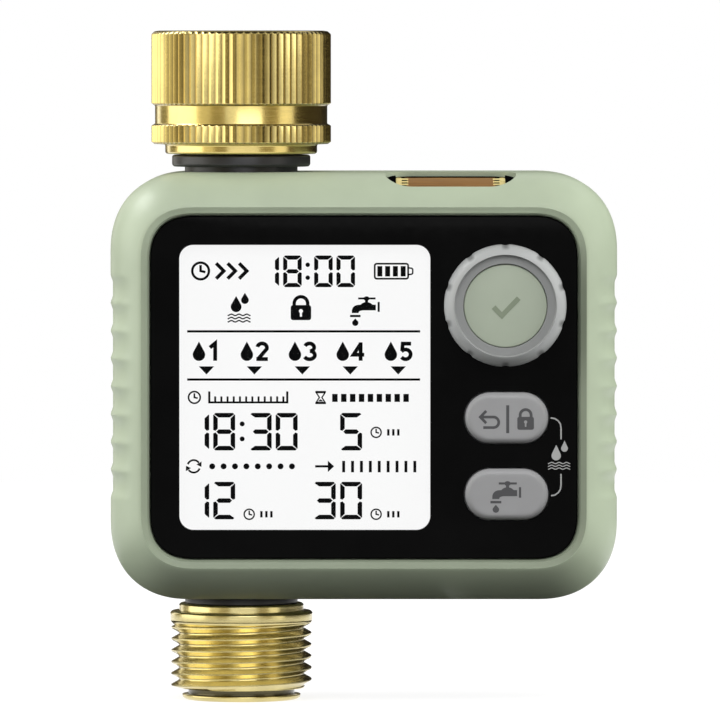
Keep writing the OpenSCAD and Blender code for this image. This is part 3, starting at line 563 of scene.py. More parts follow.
def machined(name, colour, rough, painted_shade_share=1.0, **sockets):
    """Turned metal: fine tool lines round the part and a light uneven tarnish, with painted shade in the
    hollows that the piece marks.
    """
    finish = Finish(name, Metallic=1.0, **sockets)
    finish.mottle(5, colour, 0.07)
    finish.paint_light_and_shade(painted_shade_share)
    tool_lines = finish.speckle(6.0, (1, 1, 40), 4.0)
    finish.gloss(tool_lines, rough - 0.05, rough + 0.07)
    finish.relief(tool_lines, 0.004, 0.5)
    return finish.material


def lacquered(name, colour, rough, painted_shade_share, coat):
    """Turned metal under a clear coat."""
    return machined(name, colour, rough, painted_shade_share, Coat_Weight=coat, Coat_Roughness=0.12)


# Sage case plastic: 0.42 of its colour is left where the bevel round the panel carries its full painted shade
sage_plastic = moulded("sage_plastic", tone(172, 184, 159), 0.41, 0.012, vary=0.025, specular=0.45, painted_shade_share=0.42)
black_plastic = moulded("black_plastic", tone(30, 30, 33), 0.36, 0.01, vary=0.12)
panel_black = moulded("panel_black", tone(6, 6, 6), 0.12, 0.002, vary=0.3, specular=0.035)
# Grey of the dial; its groove and finger notches get painted shade
dial_grey = moulded("dial_grey", tone(172, 174, 173), 0.38, 0.006, vary=0.03, painted_shade_share=0.69)
cap_sage = moulded("cap_sage", tone(176, 186, 167), 0.42, 0.006, vary=0.025)
key_grey = moulded("key_grey", tone(159, 159, 160), 0.42, 0.008, vary=0.03)
rubber = moulded("rubber", tone(40, 40, 42), 0.62, 0.02, vary=0.1)
nylon_white = moulded("nylon_white", tone(226, 224, 216), 0.46, 0.01)
ptfe_white = moulded("ptfe_white", tone(240, 240, 238), 0.38, 0.006)
wire_red = moulded("wire_red", tone(150, 34, 30), 0.45, 0.006)
# Black without any sheen for the sensor mat, and for the pieces that paint the shadow in the ends of the
# sensor pocket
mat_black = moulded("mat_black", tone(7, 7, 8), 0.6, 0.01, vary=0.15, specular=0.0)
mark_black = moulded("mark_black", tone(4, 4, 5), 0.5, 0.002, vary=0.2, specular=0.0)
mark_dark = moulded("mark_dark", tone(80, 80, 82), 0.5, 0.002, vary=0.06, specular=0.3)
mark_pale = moulded("mark_pale", tone(192, 193, 192), 0.5, 0.002, specular=0.3)
mark_cap = moulded("mark_cap", tone(138, 149, 128), 0.5, 0.002, specular=0.3)
# Brass of the nut: painted shade in its knurl hollows and on the ends of its ridges
brass = lacquered("brass", tone(220, 198, 122), 0.2, 0.45, 0.6)
# Brass of the outlet: painted shade in the undercut between thread and lip
outlet_brass = lacquered("outlet_brass", tone(216, 201, 140), 0.22, 0.12, 0.5)
steel = machined("steel", tone(196, 198, 200), 0.26)
gold_plate = moulded("gold_plate", tone(250, 229, 152), 0.3, 0.004, vary=0.06, grain_size=0.2, Metallic=0.15)


def board_finish():
    """Green board with the faint pattern of the copper under its lacquer."""
    finish = Finish("board_green", Roughness=0.4)
    upright = finish.add("ShaderNodeMapping", {"Vector": finish.place(), "Rotation": (math.pi / 2, 0, 0)})
    tracks = finish.add("ShaderNodeTexBrick", {
        "Vector": upright.outputs[0], "Scale": 160.0, "Mortar Size": 0.03,
        "Color1": tone(22, 84, 46), "Color2": tone(18, 74, 40), "Mortar": tone(42, 118, 66),
    }).outputs
    finish.feed("Base Color", tracks["Color"])
    finish.relief(tracks["Fac"], 0.03, 0.5)
    return finish.material


def sensor_finish():
    """Brown sensor plate with a fine drawn grain along it."""
    finish = Finish("sensor_copper", Specular_IOR_Level=0.15)
    drawn = finish.speckle(8, (1, 14, 14), 5.0)
    finish.colours(drawn, tone(122, 84, 42), tone(156, 113, 60))
    finish.gloss(drawn, 0.3, 0.42)
    finish.relief(drawn, 0.01, 0.4)
    return finish.material


def glass_finish():
    """Thin clear window: nearly all of it lets through what lies behind."""
    finish = Finish("lens_clear", Alpha=0.012, Specular_IOR_Level=0.5)
    finish.colours(finish.speckle(12), tone(120, 124, 124), tone(132, 136, 136))
    finish.gloss(finish.speckle(6), 0.03, 0.08)
    return finish.material


def display_finish():
    """White display that glows by painted light, with the fine grid of its glass."""
    finish = Finish("lcd_white", Specular_IOR_Level=0.1, Emission_Color=(1, 1, 1, 1), Emission_Strength=0.91)
    finish.colours(finish.speckle(14), tone(76, 77, 77), tone(80, 81, 80))
    finish.gloss(finish.speckle(3), 0.5, 0.6)
    finish.relief(finish.speckle(0.3), 0.002, 0.3)
    return finish.material


def cell_finish():
    """Foil of two cells: copper band and bare tip at the plus end, up on one cell and down on the other."""
    finish = Finish("cell_foil", Metallic=0.5)
    finish.colours(finish.speckle(6), tone(30, 31, 34), tone(38, 39, 43))
    finish.gloss(finish.speckle(3), 0.26, 0.36)
    x, _, z = finish.axes(finish.place())
    middle_x, middle_z = middle("battery_cells")
    plus_up = finish.maths("SIGN", finish.minus(x, middle_x * MM))
    along = finish.times(finish.minus(z, middle_z * MM), plus_up)
    for start, colour in ((11.0, tone(186, 120, 66)), (24.7, tone(196, 198, 200))):
        finish.feed("Base Color", finish.add("ShaderNodeMixRGB", {
            "Fac": finish.maths("GREATER_THAN", along, start * MM),
            "Color1": finish.colour_so_far(), "Color2": colour,
        }).outputs[0])
    return finish.material


board_green = board_finish()
cell_foil = cell_finish()
sensor_copper = sensor_finish()
lens_clear = glass_finish()
lcd_white = display_finish()


# Case

CORNER_STEPS, SIDE_STEPS, TOP_STEPS = 22, 104, 28
CORNER_R, CORNER_POWER = 15.0, 2.25
CREST_R, CREST_POWER = 10.6, 2.5
SEAT_R, SEAT_POWER = 9.2, 2.6
SEAM, SEAM_GAP = 0.14, 0.01
LEDGE_W, LEDGE_H = 3, 2
LEDGE_FRONT = panel_back + 0.05
LEDGE_BACK = LEDGE_FRONT + 1.7
BACK_TAPER = 0.75


def case_ring(inset_w, inset_h, y, corner=CORNER_R, power=CORNER_POWER):
    """The case's outline at one depth, drawn in by the insets."""
    w, h = case_w - 2 * inset_w, case_h - 2 * inset_h
    return placed(rounded_outline(w, h, corner, power, CORNER_STEPS, SIDE_STEPS, TOP_STEPS), case_c, y)


def wall_rings(side, depths):
    """From the bevelled parting line along the straight wall; side is -1 for the front, 1 for the back."""
    parting = case_ring(SEAM, SEAM, side * SEAM_GAP, CORNER_R - SEAM)
    return [parting] + [case_ring(0, 0, side * y) for y in (SEAM_GAP + SEAM, *depths)]


def front_outer_rings():
    """From the parting line up the wall and over the roll to just short of the crest."""
    rings = wall_rings(-1, (0.5, 3.5, 7.0))
    steps = 30
    for i in range(steps + 1):
        a = ROLL_END * 0.975 * i / steps
        share = (1 - math.cos(a)) / (1 - math.cos(ROLL_END))
        rings.append(case_ring(
            RIM_W * share, RIM_H * share, ROLL_START_Y - ROLL_R * math.sin(a),
            between(CORNER_R, CREST_R, share), between(CORNER_POWER, CREST_POWER, share),
        ))
    return rings


def front_shell():
    rings = front_outer_rings()
    crest = [(0.0, 0.995)]
    slope = [(0.045, 0.985), (0.10, 0.95), (0.75, 0.68), (0.81, 0.57), (0.96, 0.08), (1.0, 0.0)]
    for across, up in crest + slope:
        rings.append(case_ring(
            between(RIM_W, SEAT_IN_W, across), between(RIM_H, SEAT_IN_H, across),
            between(panel_front, crest_y + 0.06, up),
            between(CREST_R, SEAT_R, across), between(CREST_POWER, SEAT_POWER, across),
        ))
    bevel = rings[-len(slope):]
    for y in (panel_front + 0.12, LEDGE_FRONT):
        rings.append(case_ring(SEAT_IN_W, SEAT_IN_H, y, SEAT_R, SEAT_POWER))
    for y in (LEDGE_FRONT, LEDGE_BACK):
        rings.append(case_ring(SEAT_IN_W + LEDGE_W, SEAT_IN_H + LEDGE_H, y, SEAT_R - LEDGE_H, SEAT_POWER))
    inner_r = ROLL_R - WALL
    turn = math.asin((ROLL_START_Y - LEDGE_BACK) / inner_r)
    for i in range(9):
        a = turn * (1 - i / 8)
        inset = WALL + inner_r * (1 - math.cos(a))
        rings.append(case_ring(inset, inset, ROLL_START_Y - inner_r * math.sin(a), CORNER_R - inset))
    rings.append(case_ring(WALL, WALL, -SEAM_GAP, CORNER_R - WALL))
    shell = solid("front_case", *loft(rings, looped=True))
    grip(shell)
    cup = sensor_pill(POCKET_W + 2 * POCKET_WALL, POCKET_H + 2 * POCKET_WALL, POCKET_FLOOR - POCKET_WALL, 11)
    shaped(cup, "INTERSECT", solid("form", *loft(front_outer_rings())))
    shaped(shell, "UNION", cup)
    shaped(shell, "DIFFERENCE", sensor_pill(POCKET_W, POCKET_H, POCKET_FLOOR, 12), *pipe_holes())
    # Painted shade on the sides and bottom of the bevel round the panel, painted light on its top
    paint_bevel_shade(shell, bevel)
    settle(shell, "case", sage_plastic, ["front_shell"])


def store_painted_shade(obj, shade_at):
    """Stores the painted shade of a piece at each point, from 0 to 1; below 0 it is painted light, paler."""
    values = [shade_at(v.co / MM) for v in obj.data.vertices]
    obj.data.attributes.new("recess", "FLOAT", "POINT").data.foreach_set("value", values)


# Painted shade on each side of the bevel, 1 for the full share: the right side darkest, and the negative top
# value paints light, paler than the plastic
BEVEL_PAINTED_SHADE = {"left": 0.41, "right": 0.74, "top": -1.3, "bottom": 0.66}


def paint_bevel_shade(shell, rings):
    """Paints shade on the left, right and lower sides of the bevel round the panel, and painted light on its
    top side, mixed in the corners.
    """
    places = [Vector(p) for ring in rings for p in ring]
    tree = KDTree(len(places))
    for i, place in enumerate(places):
        tree.insert(place, i)
    tree.balance()
    flat_x = case_w / 2 - SEAT_IN_W - SEAT_R
    flat_z = case_h / 2 - SEAT_IN_H - SEAT_R

    def shade_at(p):
        if tree.find(p)[2] > 0.003:
            return 0.0
        x, z = p.x - case_c[0], p.z - case_c[1]
        to_side = max(abs(x) - flat_x, 0.0) ** 2
        to_end = max(abs(z) - flat_z, 0.0) ** 2
        share = to_side / (to_side + to_end)
        side = BEVEL_PAINTED_SHADE["right" if x > 0 else "left"]
        end = BEVEL_PAINTED_SHADE["top" if z > 0 else "bottom"]
        return side * share + end * (1 - share)

    store_painted_shade(shell, shade_at)


def grip(shell):
    count, pitch = 8, 5.3
    grown(shell, side_grip, {
        "Middle": case_c[0] * MM, "Lowest": (case_c[1] - pitch * count / 2) * MM, "Pitch": pitch * MM,
        "Filled": 0.94, "Count": count, "Depth": 0.6 * MM, "Fade": 0.62, "Full": 0.94, "Finish": sage_plastic,
    })


SENSOR_C = Vector((40.0, -13.9, case_top - 1.8))
SENSOR_TILT = Matrix.Rotation(math.radians(10.4), 3, "X")
POCKET_W, POCKET_H, POCKET_FLOOR, POCKET_WALL = 25, 10.2, -1.8, 1.5


def on_sensor(outline, z):
    """An outline drawn flat, laid in the sloping sensor pocket."""
    return [tuple(SENSOR_C + SENSOR_TILT @ Vector((x, y, z))) for x, y in outline]


def sensor_pill(w, h, low, high):
    return solid("pill", *loft([on_sensor(pill_outline(w, h, 24), z) for z in (low, high)]))


def pipe_holes():
    return [
        rod(STUB_HOLE_R, case_top - WALL - 1, case_top + 1),
        rod(STUB_HOLE_R, case_bottom - 1, case_bottom + WALL + 1),
    ]


def back_ring(a, wall=0.0):
    """Ring on the round of the back edge, or this far inside it."""
    r = BACK_R - wall
    inset = wall + r * (1 - math.cos(a))
    return case_ring(inset, inset, back_y - wall - r + r * math.sin(a), CORNER_R - BACK_TAPER * inset)


door_low, door_high = span("battery_door")
bay_low, bay_high = span("battery_box")
BOX_WALL = 1.2
DOOR_SCREW = middle("door_screw")
DOOR_GAP, HINGE_GAP, HINGE_DEPTH = 0.2, 0.7, 3.5
PAD_Y = bay_high[1] + 0.05
DOOR_INNER_Y = back_y - 1.95
SCREW_HEAD_R = 2.7
SCREW_SEAT = 10.0


def screw_places():
    (x0, _, z0), (x1, _, z1) = span("case_screws")
    r = SCREW_HEAD_R
    return [(x, z) for x in (x0 + r, x1 - r) for z in (z0 + r, z1 - r)]


def door_room(y, low_z):
    """Room for the flap from this depth and height up, open to the back."""
    return block(
        (door_low[0] - DOOR_GAP, y, low_z), (door_high[0] + DOOR_GAP, back_y + 1, door_high[2] + HINGE_GAP)
    )


def rear_shell():
    rings = [back_ring(a, WALL) for a in reversed(quarter(8))]
    rings.append(case_ring(WALL, WALL, SEAM_GAP, CORNER_R - BACK_TAPER * WALL))
    rings += wall_rings(1, (0.5, 4.0, 8.0, 12.0))
    rings += [back_ring(a) for a in quarter(18)]
    rings.append(case_ring(BACK_R + 0.6, BACK_R + 0.6, back_y, CORNER_R - BACK_TAPER * BACK_R - 0.4))
    shell = solid("rear_case", *loft(rings))
    grip(shell)
    sleeve_r, hole_r, post_r, post_hole_r = 4.2, 1.7, 2.4, 1.8
    pad_side, pad_below, pad_above = 2.5, 1.5, 3.0
    sleeves = [rod_back(c, sleeve_r, 0.3, back_y - 0.8) for c in screw_places()]
    pad = block(
        (door_low[0] - pad_side, PAD_Y, door_low[2] - pad_below),
        (door_high[0] + pad_side, back_y - 1, door_high[2] + pad_above),
    )
    post = rod_back(DOOR_SCREW, post_r, PAD_Y - 3.5, PAD_Y + 1)
    shaped(shell, "UNION", pad, post, *sleeves)
    recess = door_room(DOOR_INNER_Y - 0.05, door_low[2] - DOOR_GAP)
    hinge_room = door_room(back_y - HINGE_DEPTH, door_high[2] - HINGE_DEPTH)
    bay = block(
        (bay_low[0] + BOX_WALL, PAD_Y - 1, bay_low[2] + BOX_WALL),
        (bay_high[0] - BOX_WALL, back_y + 1, bay_high[2] - BOX_WALL),
    )
    holes = [rod_back(c, hole_r, -1, back_y) for c in screw_places()]
    wells = [screw_well(c) for c in screw_places()]
    screw_hole = rod_back(DOOR_SCREW, post_hole_r, PAD_Y - 4.5, back_y)
    shaped(shell, "DIFFERENCE", recess, hinge_room, bay, screw_hole, *holes, *wells, *pipe_holes())
    settle(shell, "case", sage_plastic, ["rear_shell"])


def screw_well(centre):
    """Hole over the head of a case screw, with a small lead-in at the back face."""
    profile = [(3.0, SCREW_SEAT), (3.0, back_y - 0.4), (3.5, back_y + 0.1), (3.5, back_y + 1)]
    return turned_back("well", profile, 48, centre, looped=False)


def case_screws():
    """Pan heads with a cross recess, one in each corner."""
    places = screw_places()
    x, z = places[0]
    tip = front_of("case_screws")
    shank_r, head_h, round_r = 1.48, 2.0, 0.9
    head_y = SCREW_SEAT + head_h
    profile = [
        (0.3, tip), (0.9, tip), (shank_r, tip + 0.6), (shank_r, SCREW_SEAT),
        (SCREW_HEAD_R - 0.15, SCREW_SEAT), (SCREW_HEAD_R, SCREW_SEAT + 0.2),
    ]
    for a in quarter(6):
        profile.append((
            SCREW_HEAD_R - round_r + round_r * math.cos(a), head_y - round_r + round_r * math.sin(a)
        ))
    profile.append((0.6, head_y))
    screw = turned_back("screw", profile, 40, places[0], looped=False)
    shaped(screw, "DIFFERENCE", *[
        block((x - a, SCREW_SEAT + 0.9, z - b), (x + a, head_y + 1, z + b))
        for a, b in ((1.6, 0.36), (0.36, 1.6))
    ])
    across, up = (places[2][0] - x, 0, 0), (0, 0, places[1][1] - z)
    screws = in_rows("case_screw_set", screw, steel, 2, across, 2, up)
    settle(screws, "case", steel, ["case_screws"])


# Inlet and outlet

THREAD_PITCH = 2.209


def threaded(core, crest, top, bottom, crest_z, columns, fade_top, fade_bottom):
    """Points and faces of a right-hand thread between flat ends; on the right a crest lies at crest_z."""
    flank = [(0.0, 0.0), (0.05, 0.0), (0.1, 0.06), (0.41, 0.93), (0.45, 1.0)]
    turn_profile = flank + [(0.5, 1.0)] + [(1 - share, height) for share, height in flank[:0:-1]]
    rows_per_turn = len(turn_profile)
    first = math.ceil((top - crest_z) / THREAD_PITCH) + 1
    last = math.floor((bottom - crest_z) / THREAD_PITCH) - 2
    points = []
    for turn in range(first, last - 1, -1):
        for share, height in reversed(turn_profile):
            level = crest_z + THREAD_PITCH * (turn + share - 0.5)
            for k in range(columns):
                a = 2 * math.pi * k / columns - math.pi
                z = min(max(level + THREAD_PITCH * a / (2 * math.pi), bottom), top)
                near = max(min((top - z) / fade_top, (z - bottom) / fade_bottom, 1.0), 0.0)
                near = near * near * (3 - 2 * near)
                r = core + (crest - core) * height * near
                points.append((r * math.cos(a), r * math.sin(a), z))
    faces = []
    for j in range(len(points) // columns - 1):
        for k in range(columns):
            if k < columns - 1:
                face = (j, k), (j, k + 1), (j + 1, k + 1), (j + 1, k)
            else:
                up = max(j - rows_per_turn, 0)
                down = max(j + 1 - rows_per_turn, 0)
                face = (j, k), (up, 0), (down, 0), (j + 1, k)
            corners = []
            for row, column in face:
                n = row * columns + column
                if all((Vector(points[n]) - Vector(points[c])).length > 1e-6 for c in corners):
                    corners.append(n)
            if len(corners) > 2:
                faces.append(tuple(corners))
    return points, faces


def with_rings(thread, profile, columns):
    """Adds turned rings to a thread, their first column at its seam."""
    points, faces = thread
    rings = turned_rings(profile, columns, -math.pi)
    more = band(len(points), columns, len(rings))
    return points + [p for ring in rings for p in ring], faces + more


def rounded(corners, radius, steps=4):
    """A profile with its inner corners softened; a corner may carry its own radius."""
    out = [corners[0][:2]]
    for before, here, after in zip(corners, corners[1:], corners[2:]):
        r = here[2] if len(here) > 2 else radius
        p = Vector(here[:2])
        to_before = Vector(before[:2]) - p
        to_after = Vector(after[:2]) - p
        r = min(r, 0.45 * to_before.length, 0.45 * to_after.length)
        a = p + to_before.normalized() * r
        b = p + to_after.normalized() * r
        for i in range(steps + 1):
            t = i / steps
            out.append(tuple((1 - t) ** 2 * a + 2 * t * (1 - t) * p + t * t * b))
    out.append(corners[-1][:2])
    return out


def outlet_fitting():
    bottom = outlet_bottom
    spigot_top = span("outlet_fitting")[1][2]
    top = spigot_top - 8.8
    flange_top = top - 1.5
    thread_top = flange_top - 2.7
    thread_bottom = bottom + 2.2
    run_in = thread_top + 0.8
    core, crest, bore, columns = 12.05, 13.46, 8.4, 144
    undercut_r, lip_r, flange_r, shoulder_r = 10.2, 11.35, 13.65, 11.95
    sleeve_r, spigot_r, spigot_bore = 8.7, 8.95, 7.4
    crest_z = -116.96
    thread = threaded(core, crest, run_in, thread_bottom, crest_z, columns, 0.05, 0.3)
    pipe = rounded([
        (core, run_in), (bore, run_in), (bore, bottom + 0.5), (bore + 0.5, bottom, 0.25),
        (lip_r - 0.6, bottom, 0.3), (lip_r, bottom + 0.5, 0.35), (lip_r, bottom + 1.0, 0.15),
        (undercut_r, bottom + 1.1, 0.1), (undercut_r, thread_bottom - 0.1, 0.1),
        (core - 0.3, thread_bottom, 0.1), (core, thread_bottom),
    ], 0.05)
    fitting = solid("outlet_thread", *with_rings(thread, pipe, columns))
    flange = rounded([
        (sleeve_r, thread_top), (flange_r - 0.75, thread_top, 0.1), (flange_r, thread_top + 0.75, 0.3),
        (flange_r, flange_top - 0.35, 0.2), (flange_r - 0.35, flange_top, 0.2),
        (shoulder_r, flange_top, 0.15), (shoulder_r, top - 0.3, 0.15), (shoulder_r - 0.35, top, 0.15),
        (spigot_r, top), (spigot_r, spigot_top - 0.3), (sleeve_r, spigot_top), (spigot_bore, spigot_top),
        (spigot_bore, top + 0.6), (bore, top), (bore, run_in + 0.4), (sleeve_r, run_in + 0.2),
        (sleeve_r, thread_top),
    ], 0.12)
    shaped(fitting, "UNION", solid("flange", *turned(flange[:-1], columns)))

    # Painted shade in the undercut between the thread and the lip
    def undercut(p):
        within = bore + 1 < math.hypot(p.x, p.y) < core - 0.2
        return float(within and bottom + 1.02 < p.z < thread_bottom - 0.02)

    store_painted_shade(fitting, undercut)
    settle(fitting, "case", outlet_brass, ["outlet_fitting"], crease=38)


KNURL_ROOT = 16.82
RIDGES = 76


def shade_between_ridges(reach, outer_r):
    """How far down between the ridges a point lies, 0 on their crests and on smooth turned faces; used as
    painted shade in the knurl hollows and on the ridge ends.
    """
    if reach < KNURL_ROOT - 0.19:
        return 0.0
    return min((outer_r - reach) / (outer_r - KNURL_ROOT), 1.0)


def inlet_nut():
    low, high = span("inlet_nut")
    top, bottom = high[2], low[2]
    knurl_bottom = top - 14.3
    band_top = knurl_bottom - 3.6
    band_bottom = band_top - 3.8
    outer_r = (high[0] - low[0]) / 2
    columns = RIDGES * 6
    inlet_r, root_r, groove_r, skirt_r, neck_r, seat_r = 12.5, 13.4, 16.5, 14.55, 10.95, 13.1
    thread_high, thread_low, crest_z, seat_low = -0.6, -11.5, -2.0, -19.4
    thread = threaded(root_r, inlet_r, thread_high, thread_low, crest_z, columns, 0.5, 0.5)
    upper = rounded([
        (root_r, thread_high), (inlet_r + 1.1, top - 0.25), (inlet_r + 1.35, top, 0.15),
        (outer_r - 1.5, top, 0.2), (outer_r - 0.62, top - 0.12, 0.2), (outer_r, top - 0.7, 0.15),
        (outer_r, knurl_bottom + 0.4, 0.1), (outer_r - 0.55, knurl_bottom, 0.1),
        (groove_r, knurl_bottom - 0.1, 0.1),
    ], 0.1, 3)
    lower = rounded([
        (groove_r, knurl_bottom - 0.1), (groove_r, band_top + 0.1, 0.1), (outer_r - 0.5, band_top, 0.1),
        (outer_r, band_top - 0.3, 0.1), (outer_r, band_bottom + 0.4, 0.1), (outer_r - 0.55, band_bottom, 0.1),
        (skirt_r + 0.15, band_bottom - 0.1, 0.15), (skirt_r, band_bottom - 0.3, 0.15),
        (skirt_r, bottom + 0.3, 0.2), (skirt_r - 0.35, bottom, 0.2), (neck_r, bottom), (neck_r, seat_low),
        (seat_r, seat_low), (seat_r, thread_low), (root_r, thread_low),
    ], 0.1, 3)
    nut = solid("brass_nut", *with_rings(with_rings(thread, upper, columns), lower, columns))
    grown(nut, knurl, {"Root": KNURL_ROOT * MM, "Ridges": RIDGES, "Finish": brass})
    # Painted shade between the ridges and on their end chamfers
    store_painted_shade(nut, lambda p: shade_between_ridges(math.hypot(p.x, p.y), outer_r))
    settle(nut, "inlet_coupling", brass, ["inlet_nut"], crease=24)


def thrust_collar():
    low, high = [corner[2] for corner in span("thrust_collar")]
    low -= 0.35
    inner_r, outer_r, ease = 10.95, 13.25, 0.35
    ring = rounded([
        (inner_r, low), (outer_r - ease, low), (outer_r, low + 0.4, 0.3), (outer_r, high - 0.3, 0.3),
        (outer_r - ease, high), (inner_r, high), (inner_r, low),
    ], 0.2)
    collar = solid("black_collar", *turned(ring[:-1], 128))
    settle(collar, "case", black_plastic, ["thrust_collar"])


# Front panel and controls

PANEL_R, PANEL_POWER, PANEL_EASE = 9.0, 2.6, 0.3
DIAL_HOLE_R = 9.0


def panel_holes():
    key_hole = pill_outline(key_w + 0.5, key_h + 0.5)
    return [
        shifted(rounded_outline(window_w + 0.1, window_h + 0.1, 2.65, 2.0, 10), window_c),
        circle(*dial_c, DIAL_HOLE_R, 96), shifted(key_hole, back_key_c), shifted(key_hole, tap_key_c),
    ]


def plate(name, outer_rings, holes, front, back):
    """Plate whose outer edge follows its rings, with straight holes through it."""
    count = len(outer_rings[0])
    points = [p for ring in outer_rings for p in ring]
    faces = band(0, count, len(outer_rings))
    front_points = list(range(count))
    back_points = list(range(len(points) - count, len(points)))
    for hole in holes:
        start, size = len(points), len(hole)
        points += [(x, y, z) for y in (front, back) for x, z in hole]
        faces += band(start, size, 2)
        front_points += range(start, start + size)
        back_points += range(start + size, start + 2 * size)
    for numbers, ring in ((front_points, outer_rings[0]), (back_points, outer_rings[-1])):
        for corners in filled([[(x, z) for x, _, z in ring]] + holes):
            faces.append(tuple(numbers[i] for i in corners))
    return solid(name, points, faces)


def fascia_panel():
    def ring(inset, y):
        w, h = panel_w - 2 * inset, panel_h - 2 * inset
        return placed(rounded_outline(w, h, PANEL_R - inset, PANEL_POWER, 20), middle("fascia_panel"), y)

    rings = [ring(inset, panel_front + depth) for inset, depth in eased(PANEL_EASE, 5)]
    rings.append(ring(0, panel_back))
    panel = plate("black_panel", rings, panel_holes(), panel_front, panel_back)
    settle(panel, "case", panel_black, ["fascia_panel"], crease=40)


NOTCHES = 10
NOTCH_HALF_W = 0.8
NOTCH_START_R, NOTCH_FULL_R = 10.4, 11.3
# Painted shade in the finger notches, and the reach where it begins and how far it fades in
NOTCH_PAINTED_SHADE, NOTCH_PAINTED_SHADE_R, NOTCH_PAINTED_SHADE_FADE = 1.6, 10.5, 0.5
GROOVE_R = 9.55


def dial_painted_shade(p):
    """Painted shade: full in the groove, and more in the middle of each finger notch."""
    x, z = p.x - dial_c[0], p.z - dial_c[1]
    reach = math.hypot(x, z)
    if reach < GROOVE_R + 0.12:
        return 1.0
    turn = math.atan2(x, z) / (2 * math.pi) * NOTCHES
    off = abs(turn - round(turn)) / NOTCHES * 2 * math.pi * reach
    edge = min(max((reach - NOTCH_PAINTED_SHADE_R) / NOTCH_PAINTED_SHADE_FADE, 0.0), 1.0)
    return NOTCH_PAINTED_SHADE * edge * max(1 - (off / NOTCH_HALF_W) ** 2, 0.0)


def dial():
    front = front_of("dial_ring")
    back = span("dial_ring")[1][1]
    outer_r = front_size("dial_ring")[0] / 2
    bore_r, sleeve_r, lip_r = 7.97, 8.8, 9.72
    groove_y, foot_y = front + 0.75, panel_front - 0.2
    lean = math.radians(25)
    roll = (outer_r - lip_r) / (1 - math.sin(lean))
    profile = [
        (bore_r, groove_y + 0.05), (bore_r + 0.05, groove_y), (GROOVE_R - 0.1, groove_y),
        (GROOVE_R, groove_y - 0.1), (GROOVE_R, front + 0.3), (GROOVE_R + 0.03, front + 0.12),
        (GROOVE_R + 0.1, front + 0.03),
    ]
    for i in range(25):
        a = between(lean, math.pi / 2, i / 24)
        out, depth = math.sin(a) - math.sin(lean), math.cos(lean) - math.cos(a)
        profile.append((lip_r + roll * out, front + 0.02 + roll * depth))
    profile += [
        (outer_r, foot_y - 0.15), (outer_r - 0.15, foot_y), (sleeve_r, foot_y), (sleeve_r, back),
        (bore_r, back),
    ]
    ring = turned_back("dial_knob", profile, 480, dial_c)
    grown(ring, dial_notches, {
        "Centre": (dial_c[0] * MM, 0, dial_c[1] * MM), "Notches": NOTCHES, "Half width": NOTCH_HALF_W * MM,
        "Depth": 0.16 * MM, "Starts": NOTCH_START_R * MM, "Full": NOTCH_FULL_R * MM, "Finish": dial_grey,
    })
    # Painted shade in the groove and the finger notches
    store_painted_shade(ring, dial_painted_shade)
    settle(ring, "dial", dial_grey, ["dial_ring"])


def ok_cap():
    front = front_of("ok_cap")
    back = span("ok_cap")[1][1]
    edge_r, ease, lip_r, inner_r, post_r, axis_r = 7.9, 0.24, 8.5, 6.8, 1.8, 0.02
    lip, roof = back - 2.0, front + 1.6
    profile = [(axis_r, front)]
    profile += [(r, front + sag) for r, sag in ((2.0, 0.01), (4.0, 0.04), (6.0, 0.1), (7.1, 0.17))]
    for a in quarter(6):
        profile.append((edge_r - ease + ease * math.sin(a), front + 0.44 - ease * math.cos(a)))
    profile += [
        (edge_r, lip), (lip_r, lip), (lip_r, lip + 0.7), (inner_r, lip + 0.7), (inner_r, roof),
        (post_r, roof), (post_r, back), (axis_r, back),
    ]
    cap = turned_back("push_cap", profile, 144, dial_c)
    settle(cap, "ok_button", cap_sage, ["ok_cap"])


def pill_key(name, node, centre, body):
    front = front_of(node)
    back = span(node)[1][1]
    edge, flat, flange_t = 1.15, 0.6, 0.7

    def ring(grow, y):
        return placed(pill_outline(key_w + 2 * grow, key_h + 2 * grow), centre, y)

    rings = [ring(-edge - flat, front)]
    rings += [ring(-inset, front + depth) for inset, depth in eased(edge, 8)]
    rings += [ring(0, back - flange_t), ring(KEY_FLANGE, back - flange_t), ring(KEY_FLANGE, back)]
    settle(solid(name, *loft(rings)), body, key_grey, [node])


# Marks: flat signs a few hundredths of a millimetre thick, drawn in picture points

def ribbon(points, width, closed=False):
    """Outline of a line of even width with mitred bends; a closed line gives two loops."""
    count = len(points)
    left, right = [], []
    for i, here in enumerate(points):
        p = Vector(here)
        before = (p - Vector(points[i - 1])).normalized() if closed or i > 0 else None
        after = (Vector(points[(i + 1) % count]) - p).normalized() if closed or i < count - 1 else None
        before = before or after
        after = after or before
        across = Vector((-before.y, before.x))
        n = (across + Vector((-after.y, after.x))).normalized()
        reach = width / 2 / max(n.dot(across), 0.4)
        left.append(tuple(p + n * reach))
        right.append(tuple(p - n * reach))
    if closed:
        return [left, right]
    return [left + right[::-1]]


def rect(x0, y0, x1, y1):
    return [[(x0, y0), (x1, y0), (x1, y1), (x0, y1)]]


def drop(cx, top, bottom, width):
    """Water drop: a point at the top and a round belly."""
    r = width / 2
    return [(cx, top)] + arc(cx, bottom - r, r, -25, 205, 18)


def wave(x0, x1, y, width, rise):
    bends = 3
    shares = [i / (8 * bends) for i in range(8 * bends + 1)]
    line = [(between(x0, x1, share), y + rise * math.cos(2 * math.pi * bends * share)) for share in shares]
    return ribbon(line, width)


def drops_over_water(big, small, x0, x1, ys, width, rise):
    """Two drops above three lines of waves."""
    return [[drop(*big)], [drop(*small)]] + [wave(x0, x1, y, width, rise) for y in ys]


SEGMENTS = {"0": "abcdef", "1": "bc", "2": "abged", "3": "abgcd", "5": "afgcd", "8": "abcdefg"}


